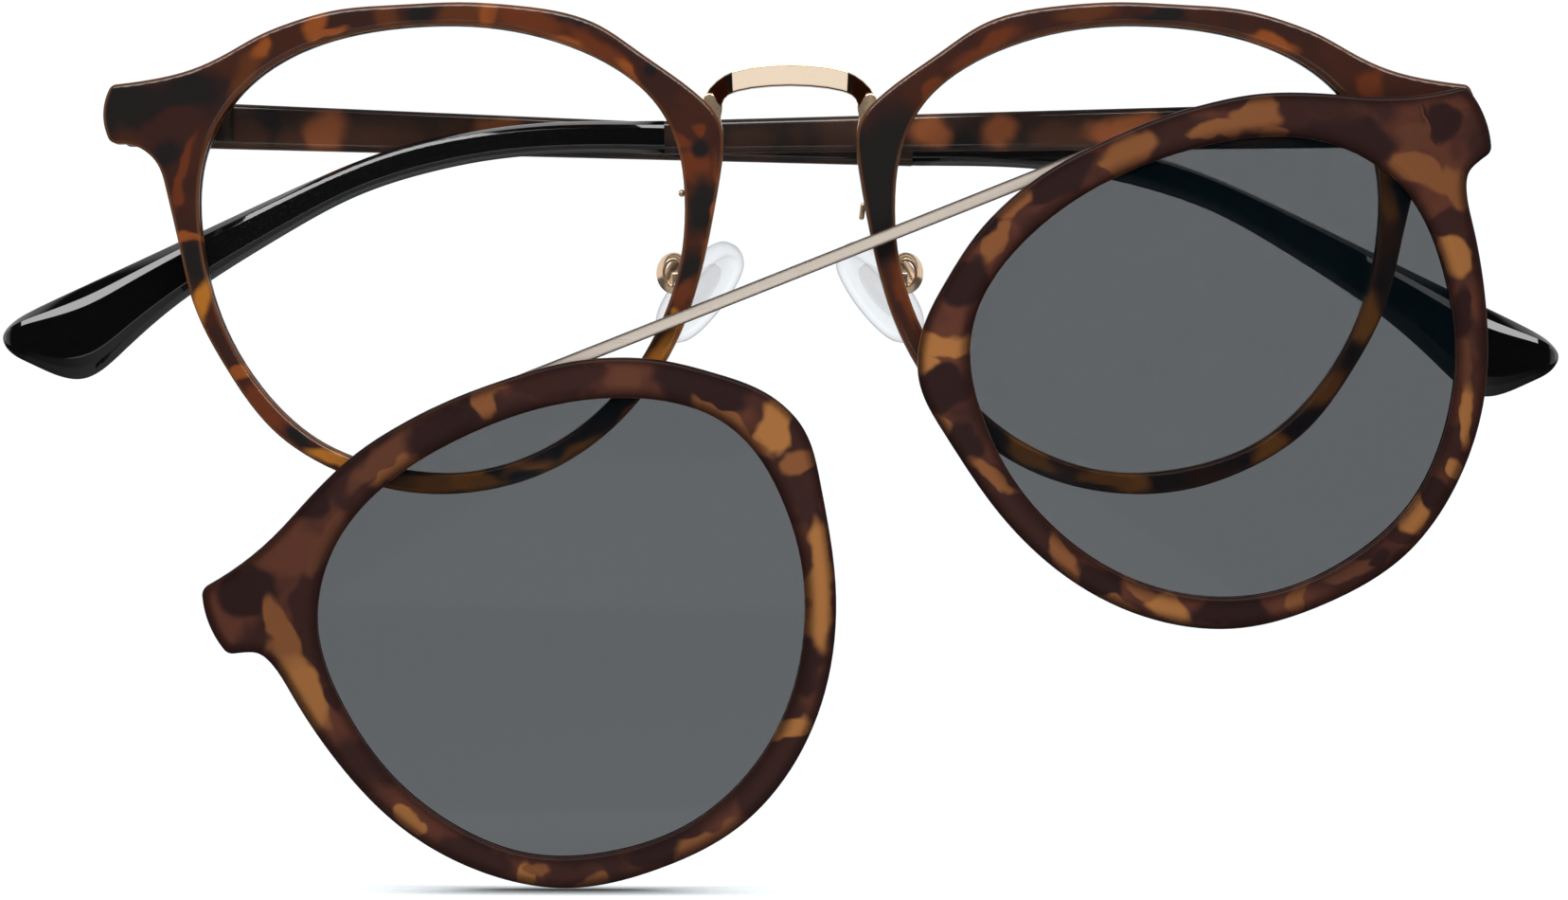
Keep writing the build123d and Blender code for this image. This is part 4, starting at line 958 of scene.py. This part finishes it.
# Studio: a pale floor under the clip's lower rim and soft lamps above, in metres
studio = {
    "floorDrop": 0.2 * mm, "floorHalf": 0.36, "floorGloss": (0.05, 0.13, 0.45, 0.03),
    "shadowReach": (0.12, 0.16), "shadowGlow": 1.02, "shadowHidden": 0.85,
    # The contact keys set a painted contact shadow: the glow dimmed where ambient occlusion finds the object close
    "contactReach": 0.012, "contactGlow": 0.02, "paintedContactShadow": (0.07, 0.42), "contactRays": 8,
    "card": ((-0.09, -0.5), (0.09, -0.17)), "cardRise": 1 * mm, "cardReach": (0.0, 0.001),
    "cardGloss": (0.0, 1.0, 1.0, 1.0),
}
paper = {"colour": (240, 240, 240), "shade": (237, 237, 237), "scale": 30.0,
         "rough": (0.75, 0.9), "specular": 0.0}
eyeLooks = {"glow": 1.09, "tint": (0.917, 0.966, 1.0, 1.0)}
white, black = (1.0, 1.0, 1.0, 1.0), (0.0, 0.0, 0.0, 1.0)


# The rays that reach the eye, straight or through clear pieces, their tint, and mirrored rays
def eyeRays(tree):
    path = addNode(tree, "ShaderNodeLightPath").outputs
    seen = scalar(tree, "MAXIMUM", path["Is Camera Ray"], path["Is Transmission Ray"])
    return seen, mixColour(tree, seen, white, eyeLooks["tint"]), path["Is Glossy Ray"]


# White paper that glows for the eye; near the object it is lit instead and takes the lamps' shadow, and a painted
# contact shadow dims its glow where the object comes close
def paperMaterial(name, shadowReach, gloss):
    material, tree, shader = newMaterial(name)
    place = ownPlace(tree)
    wear = placeWear(tree, place, paper)
    tone = wornTone(tree, wear, paper["colour"], paper["shade"])
    reach = distance(tree, vector(tree, "MULTIPLY", place, (1.0, 1.0, 0.0)))
    lit = ramp(tree, reach, *shadowReach, 1.0, 0.0)
    seen, tint, mirror = eyeRays(tree)
    hidden = ramp(tree, lit, 0.0, 1.0, 1.0, studio["shadowHidden"], soft=False)
    hidden = scalar(tree, "MAXIMUM", scalar(tree, "MULTIPLY", seen, hidden), mirror)
    # Painted contact shadow: ambient occlusion dims the paper's glow where the object comes close
    near = addNode(tree, "ShaderNodeAmbientOcclusion", {"Distance": studio["contactReach"]},
                   samples=studio["contactRays"]).outputs["AO"]
    close = scalar(tree, "MULTIPLY", lit, scalar(tree, "SUBTRACT", 1.0, near))
    paintedContactShadow = ramp(tree, close, *studio["paintedContactShadow"], 1.0, studio["contactGlow"])
    glow = scalar(tree, "MULTIPLY", scalar(tree, "MULTIPLY", seen, paintedContactShadow),
                  ramp(tree, lit, 0.0, 1.0, eyeLooks["glow"], studio["shadowGlow"], soft=False))
    connect(tree, shader, {
        "Base Color": mixColour(tree, hidden, tone, black), "Roughness": wear["Roughness"],
        "Specular IOR Level": paper["specular"], "Emission Color": tint,
        "Emission Strength": mixValue(tree, mirror, glow, ramp(tree, reach, *gloss))})
    return material


# A level sheet of paper on the stage
def sheetPiece(name, low, high, height, material):
    mesh = bpy.data.meshes.new(name)
    corners = (low, (high[0], low[1]), high, (low[0], high[1]))
    mesh.from_pydata([(x, y, height) for x, y in corners], [], [(0, 1, 2, 3)])
    mesh.materials.append(material)
    piece = addPiece(name, mesh)


floorZ = cadLow.z - studio["floorDrop"]
half = studio["floorHalf"]
sheetPiece("floor", (-half, -half), (half, half), floorZ,
           paperMaterial("floorPaper", studio["shadowReach"], studio["floorGloss"]))
sheetPiece("brightCard", *studio["card"], floorZ + studio["cardRise"],
           paperMaterial("cardPaper", studio["cardReach"], studio["cardGloss"]))

# The key box stands in front and above, so that domed faces carry one long highlight
softBoxes = {
    "keyBox": {"place": (0.0, -0.62, 0.74), "size": (1.45, 0.36), "power": 14.5},
    "leftBox": {"place": (-0.95, 0.1, 0.3), "size": (0.5, 0.8), "power": 1.2},
    "rightBox": {"place": (0.95, 0.1, 0.3), "size": (0.5, 0.8), "power": 1.2},
}
for name, box in softBoxes.items():
    lamp = bpy.data.lights.new(name, "AREA")
    lamp.shape = "RECTANGLE"
    lamp.size, lamp.size_y = box["size"]
    lamp.energy = box["power"]
    lampPiece = addPiece(name, lamp)
    lampPiece.location = box["place"]
    lampPiece.rotation_euler = (-Vector(box["place"])).to_track_quat("-Z", "Y").to_euler()

# The air is white to the eye and behind the object, and dark in front of it for reflections
airLooks = {"light": 0.2, "frontGloss": 0.02, "backGloss": 0.9, "back": (0.0, 0.35),
            "side": (0.8, 0.95)}
world = bpy.data.worlds.new("studioAir")
scene.world = world
world.use_nodes = True
air = world.node_tree
air.nodes.clear()
seen, tint, mirror = eyeRays(air)
direction = addNode(air, "ShaderNodeTexCoord").outputs["Generated"]
heading = addNode(air, "ShaderNodeSeparateXYZ", {"Vector": direction}).outputs
openShare = scalar(air, "MAXIMUM", ramp(air, heading["Y"], *airLooks["back"]),
                   ramp(air, scalar(air, "ABSOLUTE", heading["X"]), *airLooks["side"]))
gloss = ramp(air, openShare, 0.0, 1.0, airLooks["frontGloss"], airLooks["backGloss"], soft=False)
plain = ramp(air, seen, 0.0, 1.0, airLooks["light"], eyeLooks["glow"], soft=False)
background = addNode(air, "ShaderNodeBackground", {
    "Color": tint, "Strength": mixValue(air, mirror, plain, gloss)})
airOut = air.nodes.new("ShaderNodeOutputWorld")
air.links.new(background.outputs[0], airOut.inputs["Surface"])

camera = {
    "place": (-0.588 * mm, -654.6 * mm, -15.8 * mm), "frontDistance": 645.0 * mm,
    "pictureWidth": 154.67 * mm, "sensor": 36.0, "near": 0.01,
}
eye = bpy.data.cameras.new("camera")
eye.sensor_fit = "HORIZONTAL"
eye.sensor_width = camera["sensor"]
eye.lens = camera["sensor"] * camera["frontDistance"] / camera["pictureWidth"]
eye.clip_start = camera["near"]
eyePiece = addPiece("camera", eye)
eyePiece.location = camera["place"]
eyePiece.rotation_euler = (math.radians(90), 0, 0)
scene.camera = eyePiece
scene.view_settings.view_transform = "Standard"
print("stage: studio")
